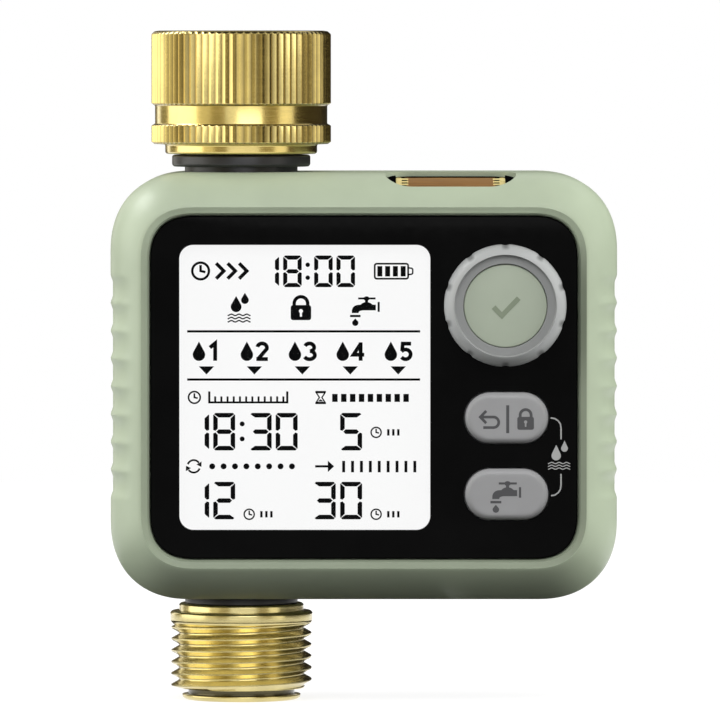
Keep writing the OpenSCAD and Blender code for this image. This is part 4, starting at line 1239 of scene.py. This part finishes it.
def digit(figure, x0, y0, w, h, t):
    """Seven-segment figure with mitred ends and fine gaps."""
    x, y = w / 2, h / 2
    gap = 0.13 * t + 0.2
    cut = 0.3 * t

    def mirrored(half):
        return half + [(-u, v) for u, v in reversed(half)]

    top = mirrored([(x - cut - gap, y), (x - gap, y - cut), (x - t - gap, y - t)])
    bar = mirrored([(x - t - gap, t / 2), (x - t / 2 - gap, 0), (x - t - gap, -t / 2)])
    side = [
        (x, y - cut - gap), (x, gap + 0.2 * t), (x - t / 2, gap), (x - t, t / 2 + gap), (x - t, y - t - gap),
        (x - 0.4 * cut, y - gap - 0.6 * cut),
    ]
    segments = {
        "a": (top, 1, 1), "b": (side, 1, 1), "c": (side, 1, -1), "d": (top, 1, -1), "e": (side, -1, -1),
        "f": (side, -1, 1), "g": (bar, 1, 1),
    }
    shapes = []
    for name in SEGMENTS[figure]:
        outline, right, up = segments[name]
        shapes.append([[(x0 + x + right * u, y0 + y - up * v) for u, v in outline]])
    return shapes


def figures(text, places, top, h, w, t):
    return [shape for figure, x in zip(text, places) for shape in digit(figure, x, top, w, h, t)]


def dots(x, ys, size):
    return [[circle(x, y, size / 2, 16)] for y in ys]


def numeral(figure, x0, y0, w, h, t):
    """Plain bold figure from 1 to 5, drawn with strokes."""
    def at(u, v):
        return x0 + u * w, y0 + v * h

    def bow(cx, cy, rx, ry, start, end):
        return [at(cx + rx * c, cy + ry * s) for c, s in arc(0, 0, 1, start, end, 14)]

    strokes = {
        "1": [[at(0.12, 0.3), at(0.56, 0.07), at(0.56, 1.0)]],
        "2": [bow(0.48, 0.31, 0.4, 0.23, 190, 375) + [at(0.16, 0.9)], [at(0.0, 0.91), at(0.96, 0.91)]],
        "3": [bow(0.42, 0.29, 0.39, 0.21, 200, 445), bow(0.42, 0.7, 0.45, 0.22, 275, 515)],
        "4": [[at(0.7, 1.0), at(0.7, 0.02)], [at(0.72, 0.08), at(0.1, 0.68), at(1.0, 0.68)]],
        "5": [[at(0.9, 0.09), at(0.2, 0.09), at(0.15, 0.48)], bow(0.44, 0.66, 0.42, 0.26, 215, 505)],
    }
    return [ribbon(line, t) for line in strokes[figure]]


def padlock(cx, top, bottom, width):
    """Closed padlock with a keyhole."""
    height = bottom - top
    body_top = top + 0.4 * height
    r = 0.33 * width
    t = 0.17 * width
    shackle = [(cx - r, body_top)] + arc(cx, top + r + t / 2, r, 180, 360, 12) + [(cx + r, body_top)]
    slot_half, slot_end = 0.05 * width, bottom - 0.14 * height
    keyhole = arc(cx, body_top + 0.24 * height, 0.1 * width, 120, 420, 12)
    keyhole += [(cx + slot_half, slot_end), (cx - slot_half, slot_end)]
    body = rounded_outline(width, bottom - body_top, 0.12 * width, 2.0, 4)
    return [ribbon(shackle, t), [shifted(body, (cx, (body_top + bottom) / 2)), keyhole]]


def tap(x0, y0, x1, y1):
    """Garden tap seen from the side: handle, curved spout, wall plate and a drop."""
    w, h = x1 - x0, y1 - y0

    def at(u, v):
        return x0 + u * w, y0 + v * h

    def knob(start, end):
        return [at(0.53 + 0.1 * u, 0.085 + 0.075 * v) for u, v in arc(0, 0, 1, start, end, 6)]

    body = [
        at(0.04, 0.57), at(0.04, 0.47), at(0.07, 0.39), at(0.13, 0.33), at(0.21, 0.3), at(0.33, 0.29),
        at(0.39, 0.24), at(0.46, 0.21), at(0.48, 0.21), *knob(120, 156), at(0.25, 0.115), at(0.25, 0.05),
        *knob(208, 332), at(0.83, 0.05), at(0.83, 0.115), *knob(24, 60), at(0.58, 0.21), at(0.6, 0.21),
        at(0.67, 0.24), at(0.73, 0.29), at(0.84, 0.29), at(0.84, 0.48), at(0.43, 0.48), at(0.34, 0.49),
        at(0.28, 0.52), at(0.26, 0.57),
    ]
    return [
        [body],
        rect(*at(0.9, 0.2), *at(0.97, 0.53)),
        rect(*at(-0.02, 0.63), *at(0.33, 0.705)),
        [drop(x0 + 0.155 * w, y0 + 0.75 * h, y1, 0.21 * w)],
    ]


def undo_arrow(x0, y0, x1, y1):
    """Arrow that turns back to the left."""
    w, h = x1 - x0, y1 - y0
    t = 0.13 * w
    mid = y0 + 0.36 * h
    low = y1 - t / 2 - 0.06 * h
    r = (low - mid) / 2
    line = [(x0 + 0.15 * w, mid)] + arc(x1 - r - t / 2, mid + r, r, -90, 90, 12) + [(x0 + 0.2 * w, low)]
    head = [(x0 + 0.34 * w, mid - 0.3 * h), (x0 + 0.06 * w, mid), (x0 + 0.34 * w, mid + 0.3 * h)]
    return [ribbon(line, t), ribbon(head, t)]


def clock(cx, cy, r, t):
    """Clock face with two hands."""
    return [
        [circle(cx, cy, r, 28), circle(cx, cy, r - t, 28)],
        ribbon([(cx, cy - 0.62 * r), (cx, cy), (cx + 0.5 * r, cy + 0.12 * r)], t),
    ]


def hourglass(cx, top, bottom, width):
    """Two glass bulbs between end plates, the sand in the lower one."""
    t = 0.16 * width
    cy = (top + bottom) / 2
    half = width / 2 - t / 2
    neck = 0.12 * width
    glass = [
        (cx - half, top + t), (cx + half, top + t), (cx + neck, cy), (cx + half, bottom - t),
        (cx - half, bottom - t), (cx - neck, cy),
    ]
    sand_half, sand_low = 0.62 * half, bottom - 1.6 * t
    sand = [(cx - sand_half, sand_low), (cx + sand_half, sand_low), (cx, cy + 0.12 * (bottom - top))]
    plates = [rect(cx - width / 2, y, cx + width / 2, y + t) for y in (top, bottom - t)]
    return plates + [ribbon(glass, 0.8 * t, closed=True), [sand]]


def cycle(cx, cy, r, t):
    """Two arrows that chase each other round a ring."""
    shapes = []
    for start in (20, 200):
        shapes.append(ribbon(arc(cx, cy, r - t / 2, start, start + 125, 10), t))
        a = math.radians(start + 128)
        out = Vector((math.cos(a), math.sin(a)))
        ahead = Vector((-out.y, out.x))
        p = Vector((cx, cy)) + out * (r - t / 2)
        shapes.append([[tuple(p - out * 1.6 * t), tuple(p + ahead * 2.4 * t), tuple(p + out * 1.6 * t)]])
    return shapes


def forward_arrow(x0, x1, cy, height):
    head = x1 - 0.55 * height
    return [
        ribbon([(x0, cy), (x1 - 0.35 * height, cy)], 0.2 * height),
        [[(head, cy - height / 2), (x1, cy), (head, cy + height / 2)]],
    ]


def stamp(name, shapes, place, front, back):
    """Thin raised signs: each shape is an outline and its holes."""
    points, faces = [], []
    for loops in shapes:
        flat = [[place(p) for p in loop] for loop in loops]
        start = len(points)
        total = sum(len(loop) for loop in flat)
        for y in (front, back):
            points += [(x, y, z) for loop in flat for x, z in loop]
        for corners in filled(flat):
            faces.append(tuple(start + i for i in corners))
            faces.append(tuple(start + total + i for i in reversed(corners)))
        for loop in flat:
            for k in range(len(loop)):
                n = (k + 1) % len(loop)
                faces.append((start + k, start + n, start + total + n, start + total + k))
            start += len(loop)
    return solid(name, points, faces)


# Places in the front view, in picture points, and how they lie on the part
WINDOW_PX = (304.7, 387.3)
BACK_KEY_PX = (506.2, 416.9)
TAP_KEY_PX = (506.2, 493.7)
CAP_PX = (505.3, 304.2)
POINT = 0.1898
MARK_FRONT = glass_y - 0.035
MARK_BACK = glass_y + 0.005


def laid_on(centre, centre_px):
    """Lays picture points on the front, measured from the middle of what carries them."""
    def place(p):
        return centre[0] + (p[0] - centre_px[0]) * POINT, centre[1] - (p[1] - centre_px[1]) * POINT
    return place


on_front = laid_on(window_c, WINDOW_PX)


def time_row():
    """Clock, arrows, the time of day and a battery."""
    y, clock_x, figure_top = 271, 200.5, 255.5
    colon_x, colon_ys = 307.6, (264.8, 277.7)
    arrow_xs, arrow_w = (216, 227.5, 239), 7.7
    figure_xs = (260.4, 283, 314, 336.3)
    battery, nub_base = (391.3, 271.25), (408.6, 271.25)
    nub = [(0, -3.35), (3, -2.95), (4, -1.95), (4, 1.95), (3, 2.95), (0, 3.35)]
    shapes = clock(clock_x, y, 9.6, 2.5)
    shapes += [ribbon([(x, y - arrow_w), (x + arrow_w, y), (x, y + arrow_w)], 3.6) for x in arrow_xs]
    shapes += figures("1800", figure_xs, figure_top, 31.7, 18.6, 4.2)
    shapes += dots(colon_x, colon_ys, 4.6)
    shapes.append(ribbon(shifted(rounded_outline(33.4, 15.0, 2, 2.0, 4), battery), 1.8, closed=True))
    shapes.append(ribbon(shifted(nub, nub_base), 1.5))
    return shapes


def sign_row():
    """Rain, lock and tap."""
    big, small = (236, 296, 312.2, 10.8), (244.8, 292.7, 304, 7.7)
    water_left, water_right, water_ys = 227.5, 250.4, (314.9, 318.1, 321.3)
    lock_x, lock_top, lock_bottom = 300.8, 295, 320.2
    tap_box = (350.5, 296, 380.5, 326)
    shapes = drops_over_water(big, small, water_left, water_right, water_ys, 1.35, 0.75)
    return shapes + padlock(lock_x, lock_top, lock_bottom, 20.5) + tap(*tap_box)


def program_row():
    """Five numbered drops between two rules."""
    rule_left, rule_right, rule_half, rule_ys = 187, 420, 1.15, (331.4, 379.6)
    program_xs, drop_top, drop_bottom, figure_top = (206.3, 254.2, 302.3, 350.1, 398.2), 341.5, 361, 342
    shapes = [rect(rule_left, y - rule_half, rule_right, y + rule_half) for y in rule_ys]
    for n, x in enumerate(program_xs):
        shapes.append([drop(x - 7.5, drop_top, drop_bottom, 12.5)])
        shapes += numeral(str(n + 1), x + 2, figure_top, 12, 18.8, 3.9)
    return shapes


SCALE_YS = (397.5, 466.5)
UNIT_YS = (432.5, 514.5)


def setting_rows():
    """Start time, run time, days between and the next run, each with its sign."""
    tops, size = (413, 482), (37.6, 22, 4.6)
    left_xs, right_xs, start_xs = (187, 213), (313.6, 340), (187, 213, 249.5, 275.5)
    colon_x, colon_ys = 242, (424, 439)
    unit_xs = (249, 376)
    clock_x, cycle_x, arrow_left, arrow_right = 194.2, 193.5, 315, 334
    glass_x, glass_top, glass_bottom = 320.5, 391, 404.2
    shapes = clock(clock_x, SCALE_YS[0], 6.7, 1.7)
    shapes += hourglass(glass_x, glass_top, glass_bottom, 10.5)
    shapes += cycle(cycle_x, SCALE_YS[1], 7.2, 1.9)
    shapes += forward_arrow(arrow_left, arrow_right, SCALE_YS[1], 11.5)
    shapes += figures("1830", start_xs, tops[0], *size) + dots(colon_x, colon_ys, 5)
    shapes += figures("5", right_xs[1:], tops[0], *size)
    shapes += figures("12", left_xs, tops[1], *size)
    shapes += figures("30", right_xs, tops[1], *size)
    for x, y in ((unit_xs[1], UNIT_YS[0]), (unit_xs[0], UNIT_YS[1]), (unit_xs[1], UNIT_YS[1])):
        shapes += clock(x, y, 5.8, 1.5)
    return shapes


def display_marks():
    shapes = time_row() + sign_row() + program_row() + setting_rows()
    signs = stamp("signs", shapes, on_front, MARK_FRONT, MARK_BACK)
    minute_x, hour_x, unit_w, unit_half = 387, 260, 2.4, 3.2

    def unit_bars(x, y):
        return rect(x, y - unit_half, x + unit_w, y + unit_half), 3, 5.0

    repeats = {
        "charge": (rect(377.2, 266.1, 382.2, 276.5), 4, 7.78),
        "pointers": ([[(198.6, 366.4), (214, 366.4), (206.3, 374.6)]], 5, 47.95),
        "day ends": (rect(208, 391.5, 210.2, 403.5), 2, 78),
        "day line": (rect(208, 401.5, 288.2, 403.5), 1, 0),
        "hours": (rect(214, 396.5, 216, 403.5), 12, 6.2),
        "run time": (rect(332, 394, 337.5, 402), 9, 8.9),
        "days between": ([circle(212, SCALE_YS[1], 3.0, 16)], 8, 11.4),
        "next run": (rect(342, 461, 345, 472.5), 9, 8.9),
        "run minutes": unit_bars(minute_x, UNIT_YS[0]),
        "next minutes": unit_bars(minute_x, UNIT_YS[1]),
        "hours between": unit_bars(hour_x, UNIT_YS[1]),
    }
    parts = [signs]
    for name, (shape, count, step) in repeats.items():
        one = stamp(name, [shape], on_front, MARK_FRONT, MARK_BACK)
        parts.append(in_rows(name, one, mark_black, count, (step * POINT, 0, 0)))
    settle(joined("display_marks", parts), "case", mark_black)


def key_marks():
    front = front_of("back_key")
    arrow_box, divider = (478.5, 408.5, 499.5, 429), (505.6, 404.1, 508.6, 432)
    tap_box = (490.5, 480, 521.5, 512)
    lock_x, lock_top, lock_bottom = 525, 407, 428.6
    back = undo_arrow(*arrow_box) + [rect(*divider)] + padlock(lock_x, lock_top, lock_bottom, 16.6)
    sign = stamp("back_sign", back, laid_on(back_key_c, BACK_KEY_PX), front - 0.025, front + 0.01)
    settle(sign, "back_button", mark_dark)
    sign = stamp("tap_sign", tap(*tap_box), laid_on(tap_key_c, TAP_KEY_PX), front - 0.025, front + 0.01)
    settle(sign, "tap_button", mark_dark)


def panel_marks():
    """Rain sign between the two keys, with a curved line to each."""
    upper = [(550.4, 417.7), (554.5, 418.4), (558, 420.6), (560.2, 423.8), (560.8, 428), (560.8, 439)]
    lower = [(560.8, 473.7), (560.8, 485), (560.2, 489.2), (558, 492.6), (554.6, 494.9), (550.8, 495.6)]
    big, small = (556, 444.6, 460.2, 9.4), (564.3, 440.4, 451.6, 6.7)
    water_left, water_right, water_ys = 547.8, 570, (462.8, 465.6, 468.4)
    shapes = [ribbon(upper, 1.4), ribbon(lower, 1.4)]
    shapes += drops_over_water(big, small, water_left, water_right, water_ys, 0.9, 0.7)
    print_marks = stamp("panel_signs", shapes, on_front, panel_front - 0.025, panel_front + 0.01)
    settle(print_marks, "case", mark_pale)


def cap_mark():
    front = front_of("ok_cap")
    tick = [(493.5, 305.5), (501.8, 314.0), (518.5, 296.5)]
    sign = stamp("cap_sign", [ribbon(tick, 5.0)], laid_on(dial_c, CAP_PX), front - 0.03, front + 0.03)
    settle(sign, "ok_button", mark_cap)


# Rain sensor

SENSOR_W, SENSOR_H, SENSOR_T, SENSOR_R = 21.3, 8.4, 1.2, 1.5


def sensor_outline(grow, r, steps):
    return rounded_outline(SENSOR_W + 2 * grow, SENSOR_H + 2 * grow, r, 2.0, steps)


def sensor_plate():
    ease = 0.15
    rings = []
    for inset, z in ((ease, 0), (0, -ease), (0, ease - SENSOR_T), (ease, -SENSOR_T)):
        rings.append(on_sensor(sensor_outline(-inset, SENSOR_R - inset, 8), z))
    settle(solid("sensor_plate", *loft(rings)), "case", sensor_copper, ["rain_sensor_board"])


def chip(w, h, r, steps, x, y, top):
    """Thin pad on the sensor plate."""
    outline = shifted(rounded_outline(w, h, r, 2.0, steps), (x, y))
    return solid("chip", *loft([on_sensor(outline, z) for z in (-0.02, top)]))


def sensor_contacts():
    """Black ends on the plate, a painted shadow in the ends of the pocket, and a gold pad with three teeth at
    each.
    """
    end_w, pad_w, tooth_w, tooth_h, pitch = 2.3, 1.1, 1.5, 1.3, 2.5
    step = tuple(SENSOR_TILT @ Vector((0, pitch, 0)))
    contacts, ends = [], []
    for side in (-1, 1):
        end_x, pad_x, tooth_x = [
            side * (SENSOR_W / 2 - off) for off in (end_w / 2 + 0.05, pad_w / 2 + 0.25, pad_w + tooth_w / 2)
        ]
        ends.append(chip(end_w, SENSOR_H - 0.1, 1.2, 8, end_x, 0, 0.02))
        contacts.append(chip(pad_w, SENSOR_H - 0.6, 0.54, 6, pad_x, 0, 0.06))
        tooth = chip(tooth_w, tooth_h, 0.3, 4, tooth_x, -pitch, 0.055)
        contacts.append(in_rows("teeth", tooth, gold_plate, 3, step))
    settle(joined("sensor_ends", ends), "case", mat_black)
    settle(joined("sensor_contacts", contacts), "case", gold_plate)


def mat_lift(y, z):
    """How much higher the upper face of the mat lies along its rear edge, so that its black shows as a
    painted shadow line behind the plate.
    """
    if y <= 2 or z <= -0.5:
        return 0.0
    return 0.2 + 0.14 * min(y - 2, 1.0)


# The mat takes the seal's place; its raised black rear edge is a painted shadow line behind the plate
def sensor_mat():
    hollow = sensor_outline(0.08, 1.55, 24)
    levels = [(hollow, -1.22), (hollow, -0.3), (sensor_outline(0.2, 1.7, 24), -0.2)]
    for inset, z in ((0.3, -0.2), (0.1, -0.4), (0.1, -1.7), (0.2, -1.79)):
        levels.append((pill_outline(POCKET_W - 2 * inset, POCKET_H - 2 * inset, 24), z))
    rings = []
    for outline, z in levels:
        rings.append([on_sensor([(x, y)], z + mat_lift(y, z))[0] for x, y in outline])
    settle(solid("sensor_mat", *loft(rings)), "case", mat_black, ["sensor_seal"])


def sensor_clamps():
    """Round black pieces at both ends of the plate, a painted shadow in the ends of the pocket."""
    centre_x = 7.4
    flat_x = SENSOR_W / 2 - 0.25 - centre_x
    shadow_wedges = []
    for side in (-1, 1):
        rings = []
        for r, z in ((5.05, -0.25), (5.05, 0.42), (4.95, 0.5)):
            reach = math.degrees(math.acos(flat_x / r))
            rings.append(on_sensor([(side * x, y) for x, y in arc(centre_x, 0, r, -reach, reach, 20)], z))
        shadow_wedges.append(solid("clamp", *loft(rings)))
    settle(joined("sensor_clamps", shadow_wedges), "case", mat_black)


# Carried-over solids

def dress(node, finish, edge):
    """Gives a solid its finish, and softened edges where they show."""
    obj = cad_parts[node]
    if obj.material_slots:
        for place in obj.material_slots:
            place.material = finish
    else:
        obj.data.materials.append(finish)
    if edge:
        weld = obj.modifiers.new("merge", "WELD")
        weld.merge_threshold = 1e-6
        flat = obj.modifiers.new("flats", "DECIMATE")
        flat.decimate_type = "DISSOLVE"
        flat.angle_limit = math.radians(1)
        soften = obj.modifiers.new("soften", "BEVEL")
        soften.width = edge * MM
        soften.segments = 3
        soften.limit_method = "ANGLE"
        soften.angle_limit = math.radians(35)
        soften.harden_normals = False
        even = obj.modifiers.new("even", "WEIGHTED_NORMAL")
        even.keep_sharp = True


# Finish of each solid that is shown as it is, and the width of its softened edges
DRESSED = (
    (rubber, {
        "case_seal": 0, "contact_strips": 0.2, "door_seal": 0.1, "inlet_washer": 0.2, "pipe_seals": 0.2,
        "stem_seals": 0,
    }),
    (black_plastic, {
        "tact_switches": 0.15, "dial_sensor": 0.15, "battery_box": 0.3, "inlet_tailpiece": 0.2,
        "valve_body": 0.2, "valve_end": 0.2, "motor_bracket": 0.2,
    }),
    (steel, {
        "dial_clip": 0.08, "battery_contacts": 0.1, "door_hinge_pin": 0.15, "door_screw": 0.12,
        "filter_screen": 0.05, "valve_ball": 0.1, "valve_stem": 0.1, "stem_circlip": 0.05,
        "gear_motor": 0.3, "motor_screws": 0.08, "motor_shaft": 0.1,
    }),
    (nylon_white, {"lcd_holder": 0.2, "valve_gear": 0.08}),
    (wire_red, {"sensor_leads": 0, "battery_leads": 0, "motor_leads": 0}),
    (ptfe_white, {"ball_seats": 0.1}),
    (brass, {"motor_pinion": 0.05}),
    (sage_plastic, {"battery_door": 0.3}),
    (board_green, {"main_board": 0.1}),
    (cell_foil, {"battery_cells": 0.5}),
    (lens_clear, {"display_lens": 0}),
    (lcd_white, {"lcd_module": 0}),
)

front_shell()
rear_shell()
case_screws()
outlet_fitting()
inlet_nut()
thrust_collar()
fascia_panel()
dial()
ok_cap()
pill_key("undo_key", "back_key", back_key_c, "back_button")
pill_key("water_key", "tap_key", tap_key_c, "tap_button")
display_marks()
key_marks()
panel_marks()
cap_mark()
sensor_plate()
sensor_contacts()
sensor_mat()
sensor_clamps()
for finish, edges in DRESSED:
    for node, edge in edges.items():
        dress(node, finish, edge)


# Stage

scene = bpy.context.scene
scene.view_settings.view_transform = "Standard"

VIEW_X, VIEW_Z = 22.77, -62.35
VIEW_DISTANCE = 1800.0
VIEW_RISE = math.radians(1.9)
camera_data = bpy.data.cameras.new("camera")
camera_data.sensor_width = 36.0
camera_data.lens = 469.2
camera = in_scene("camera", camera_data)
view_y = -VIEW_DISTANCE * math.cos(VIEW_RISE)
view_z = VIEW_Z + VIEW_DISTANCE * math.sin(VIEW_RISE)
camera.location = (VIEW_X * MM, view_y * MM, view_z * MM)
camera.rotation_euler = (math.pi / 2 - VIEW_RISE, 0, 0)
scene.camera = camera

AIM = Vector((0.02, 0, -0.065))
LAMP_GAIN = 9.87


def lamp(name, turn, rise, distance, size, level):
    """Soft oblong lamp round the part; level is what it gives a white surface that faces it."""
    data = bpy.data.lights.new(name, "AREA")
    data.shape = "RECTANGLE"
    data.size, data.size_y = size
    data.energy = level * LAMP_GAIN * distance ** 2
    a, e = math.radians(turn), math.radians(rise)
    reach = distance * Vector((math.sin(a) * math.cos(e), -math.cos(a) * math.cos(e), math.sin(e)))
    obj = in_scene(name, data)
    obj.location = AIM + reach
    obj.rotation_euler = (-reach).to_track_quat("-Z", "Y").to_euler()
    obj.visible_camera = False
    obj.visible_glossy = False


lamp("top_front_lamp", -4, 46, 1.0, (0.9, 0.5), 0.48)
lamp("left_lamp", -84, 9, 0.9, (0.5, 0.5), 0.71)
lamp("right_lamp", 84, 9, 0.9, (0.5, 0.5), 0.93)


def bare_material(name):
    """A material without nodes, and its bench."""
    material = bpy.data.materials.new(name)
    material.use_nodes = True
    material.node_tree.nodes.clear()
    return material, Bench(material.node_tree)


def glossy_only(obj, grey, level=1.0, seen_from_below=True):
    """Gives a card its even tone and hides it from all but mirrored light."""
    material, tree = bare_material(obj.name)
    face = tree.add("ShaderNodeEmission", {"Color": tone(*grey), "Strength": level}).outputs[0]
    if not seen_from_below:
        back = tree.add("ShaderNodeNewGeometry").outputs["Backfacing"]
        clear = tree.add("ShaderNodeBsdfTransparent").outputs[0]
        face = tree.add("ShaderNodeMixShader", {0: back, 1: face, 2: clear}).outputs[0]
    tree.add("ShaderNodeOutputMaterial", {"Surface": face})
    obj.data.materials.append(material)
    for ray in ("camera", "diffuse", "shadow", "transmission", "volume_scatter"):
        setattr(obj, "visible_" + ray, False)


CARD_R = 450.0
CARD_LOW, CARD_HIGH = -400, 300
CARD_GAP_HIGH, CARD_GAP_LOW = 4, -136


def card(name, turn, width, grey, level=1.0, low=CARD_LOW, high=CARD_HIGH):
    """Upright curved card round the part, which only mirrored light sees."""
    steps = 8
    points = []
    for i in range(steps + 1):
        a = math.radians(turn + width * (i / steps - 0.5))
        points += [(CARD_R * math.sin(a), -CARD_R * math.cos(a), z) for z in (low, high)]
    faces = [(2 * i, 2 * i + 2, 2 * i + 3, 2 * i + 1) for i in range(steps)]
    glossy_only(solid(name, points, faces), grey, level)


WARM_WHITE, WHITE = (255, 252, 242), (255, 255, 255)
card("rear_left_card", -165, 30, (92, 84, 64))
card("side_left_card", -143, 14, WARM_WHITE, 1.5)
card("left_back_card", -124, 24, (146, 138, 108))
card("left_light_card", -86, 52, WARM_WHITE, 2.3)
card("high_left_card", -101, 34, WHITE, 11.0, low=CARD_HIGH, high=640)
card("left_card", -50, 20, (238, 230, 200))
card("left_brown_card", -30, 20, (166, 154, 120))
card("light_card_above", 12, 32, WHITE, 3.0, low=CARD_GAP_HIGH)
card("light_card_below", 12, 32, WHITE, 3.0, high=CARD_GAP_LOW)
card("right_card", 40, 24, (156, 144, 112))
card("right_light_card", 63, 22, (255, 250, 236), 1.25)
card("right_back_card", 105, 62, (64, 58, 46))
card("dark_card", 158, 44, (46, 42, 36))


def flat_card(name, inner_r, outer_r, level, grey, seen_from_below=True):
    """Level dark ring round the water way, its face up, which only mirrored light sees."""
    columns = 64
    points, faces = turned([(inner_r, level), (outer_r, level)], columns)
    ring = solid(name, points, faces[:columns])
    if ring.data.polygons[0].normal.z < 0:
        ring.data.flip_normals()
    glossy_only(ring, grey, seen_from_below=seen_from_below)


flat_card("top_card", 1, 560, 660, (70, 66, 56))
flat_card("low_card", 40, 110, outlet_bottom + 0.05, (52, 50, 44))
flat_card("under_card", 14.5, 42, case_bottom - 1.0, (52, 50, 44), seen_from_below=False)


def seen(tree):
    """1 for what the eye, mirrors and glass see, 0 for light that falls on the part."""
    path = tree.add("ShaderNodeLightPath").outputs
    direct = tree.maths("ADD", path["Is Camera Ray"], path["Is Glossy Ray"])
    return tree.maths("ADD", direct, path["Is Transmission Ray"])


def backdrop():
    """White where it is seen; as a light, dim below and brighter above."""
    world = bpy.data.worlds.new("studio")
    scene.world = world
    world.use_nodes = True
    world.node_tree.nodes.clear()
    tree = Bench(world.node_tree)
    up = tree.axes(tree.add("ShaderNodeTexCoord").outputs["Generated"])[2]
    level = tree.add("ShaderNodeMapRange", {
        "Value": up, "From Min": -0.2, "From Max": 0.9, "To Min": 0.0, "To Max": 0.84,
    }).outputs["Result"]
    soft = tree.add("ShaderNodeBackground", {"Color": (1, 1, 1, 1), "Strength": level}).outputs[0]
    white = tree.add("ShaderNodeBackground", {"Color": (1, 1, 1, 1), "Strength": 1.0}).outputs[0]
    mixed = tree.add("ShaderNodeMixShader", {0: seen(tree), 1: soft, 2: white}).outputs[0]
    tree.add("ShaderNodeOutputWorld", {"Surface": mixed})


def floor():
    """Pale round floor that lies at the mouth of the outlet."""
    rim = circle(0, 0, 900, 64)
    points = [(0, 0, outlet_bottom)] + [(x, y, outlet_bottom) for x, y in rim]
    faces = [(0, 1 + i, 1 + (i + 1) % len(rim)) for i in range(len(rim))]
    obj = solid("floor", points, faces)
    material, tree = bare_material("pale_floor")
    lit = tree.add("ShaderNodeBsdfDiffuse", {"Color": (0.3, 0.3, 0.3, 1)}).outputs[0]
    glow = tree.add("ShaderNodeEmission", {"Color": (1, 1, 1, 1), "Strength": 0.82}).outputs[0]
    bright = tree.add("ShaderNodeAddShader", {0: lit, 1: glow}).outputs[0]
    plain = tree.add("ShaderNodeBsdfDiffuse", {"Color": (0.1, 0.1, 0.1, 1)}).outputs[0]
    mixed = tree.add("ShaderNodeMixShader", {0: seen(tree), 1: plain, 2: bright}).outputs[0]
    tree.add("ShaderNodeOutputMaterial", {"Surface": mixed})
    obj.data.materials.append(material)


backdrop()
floor()
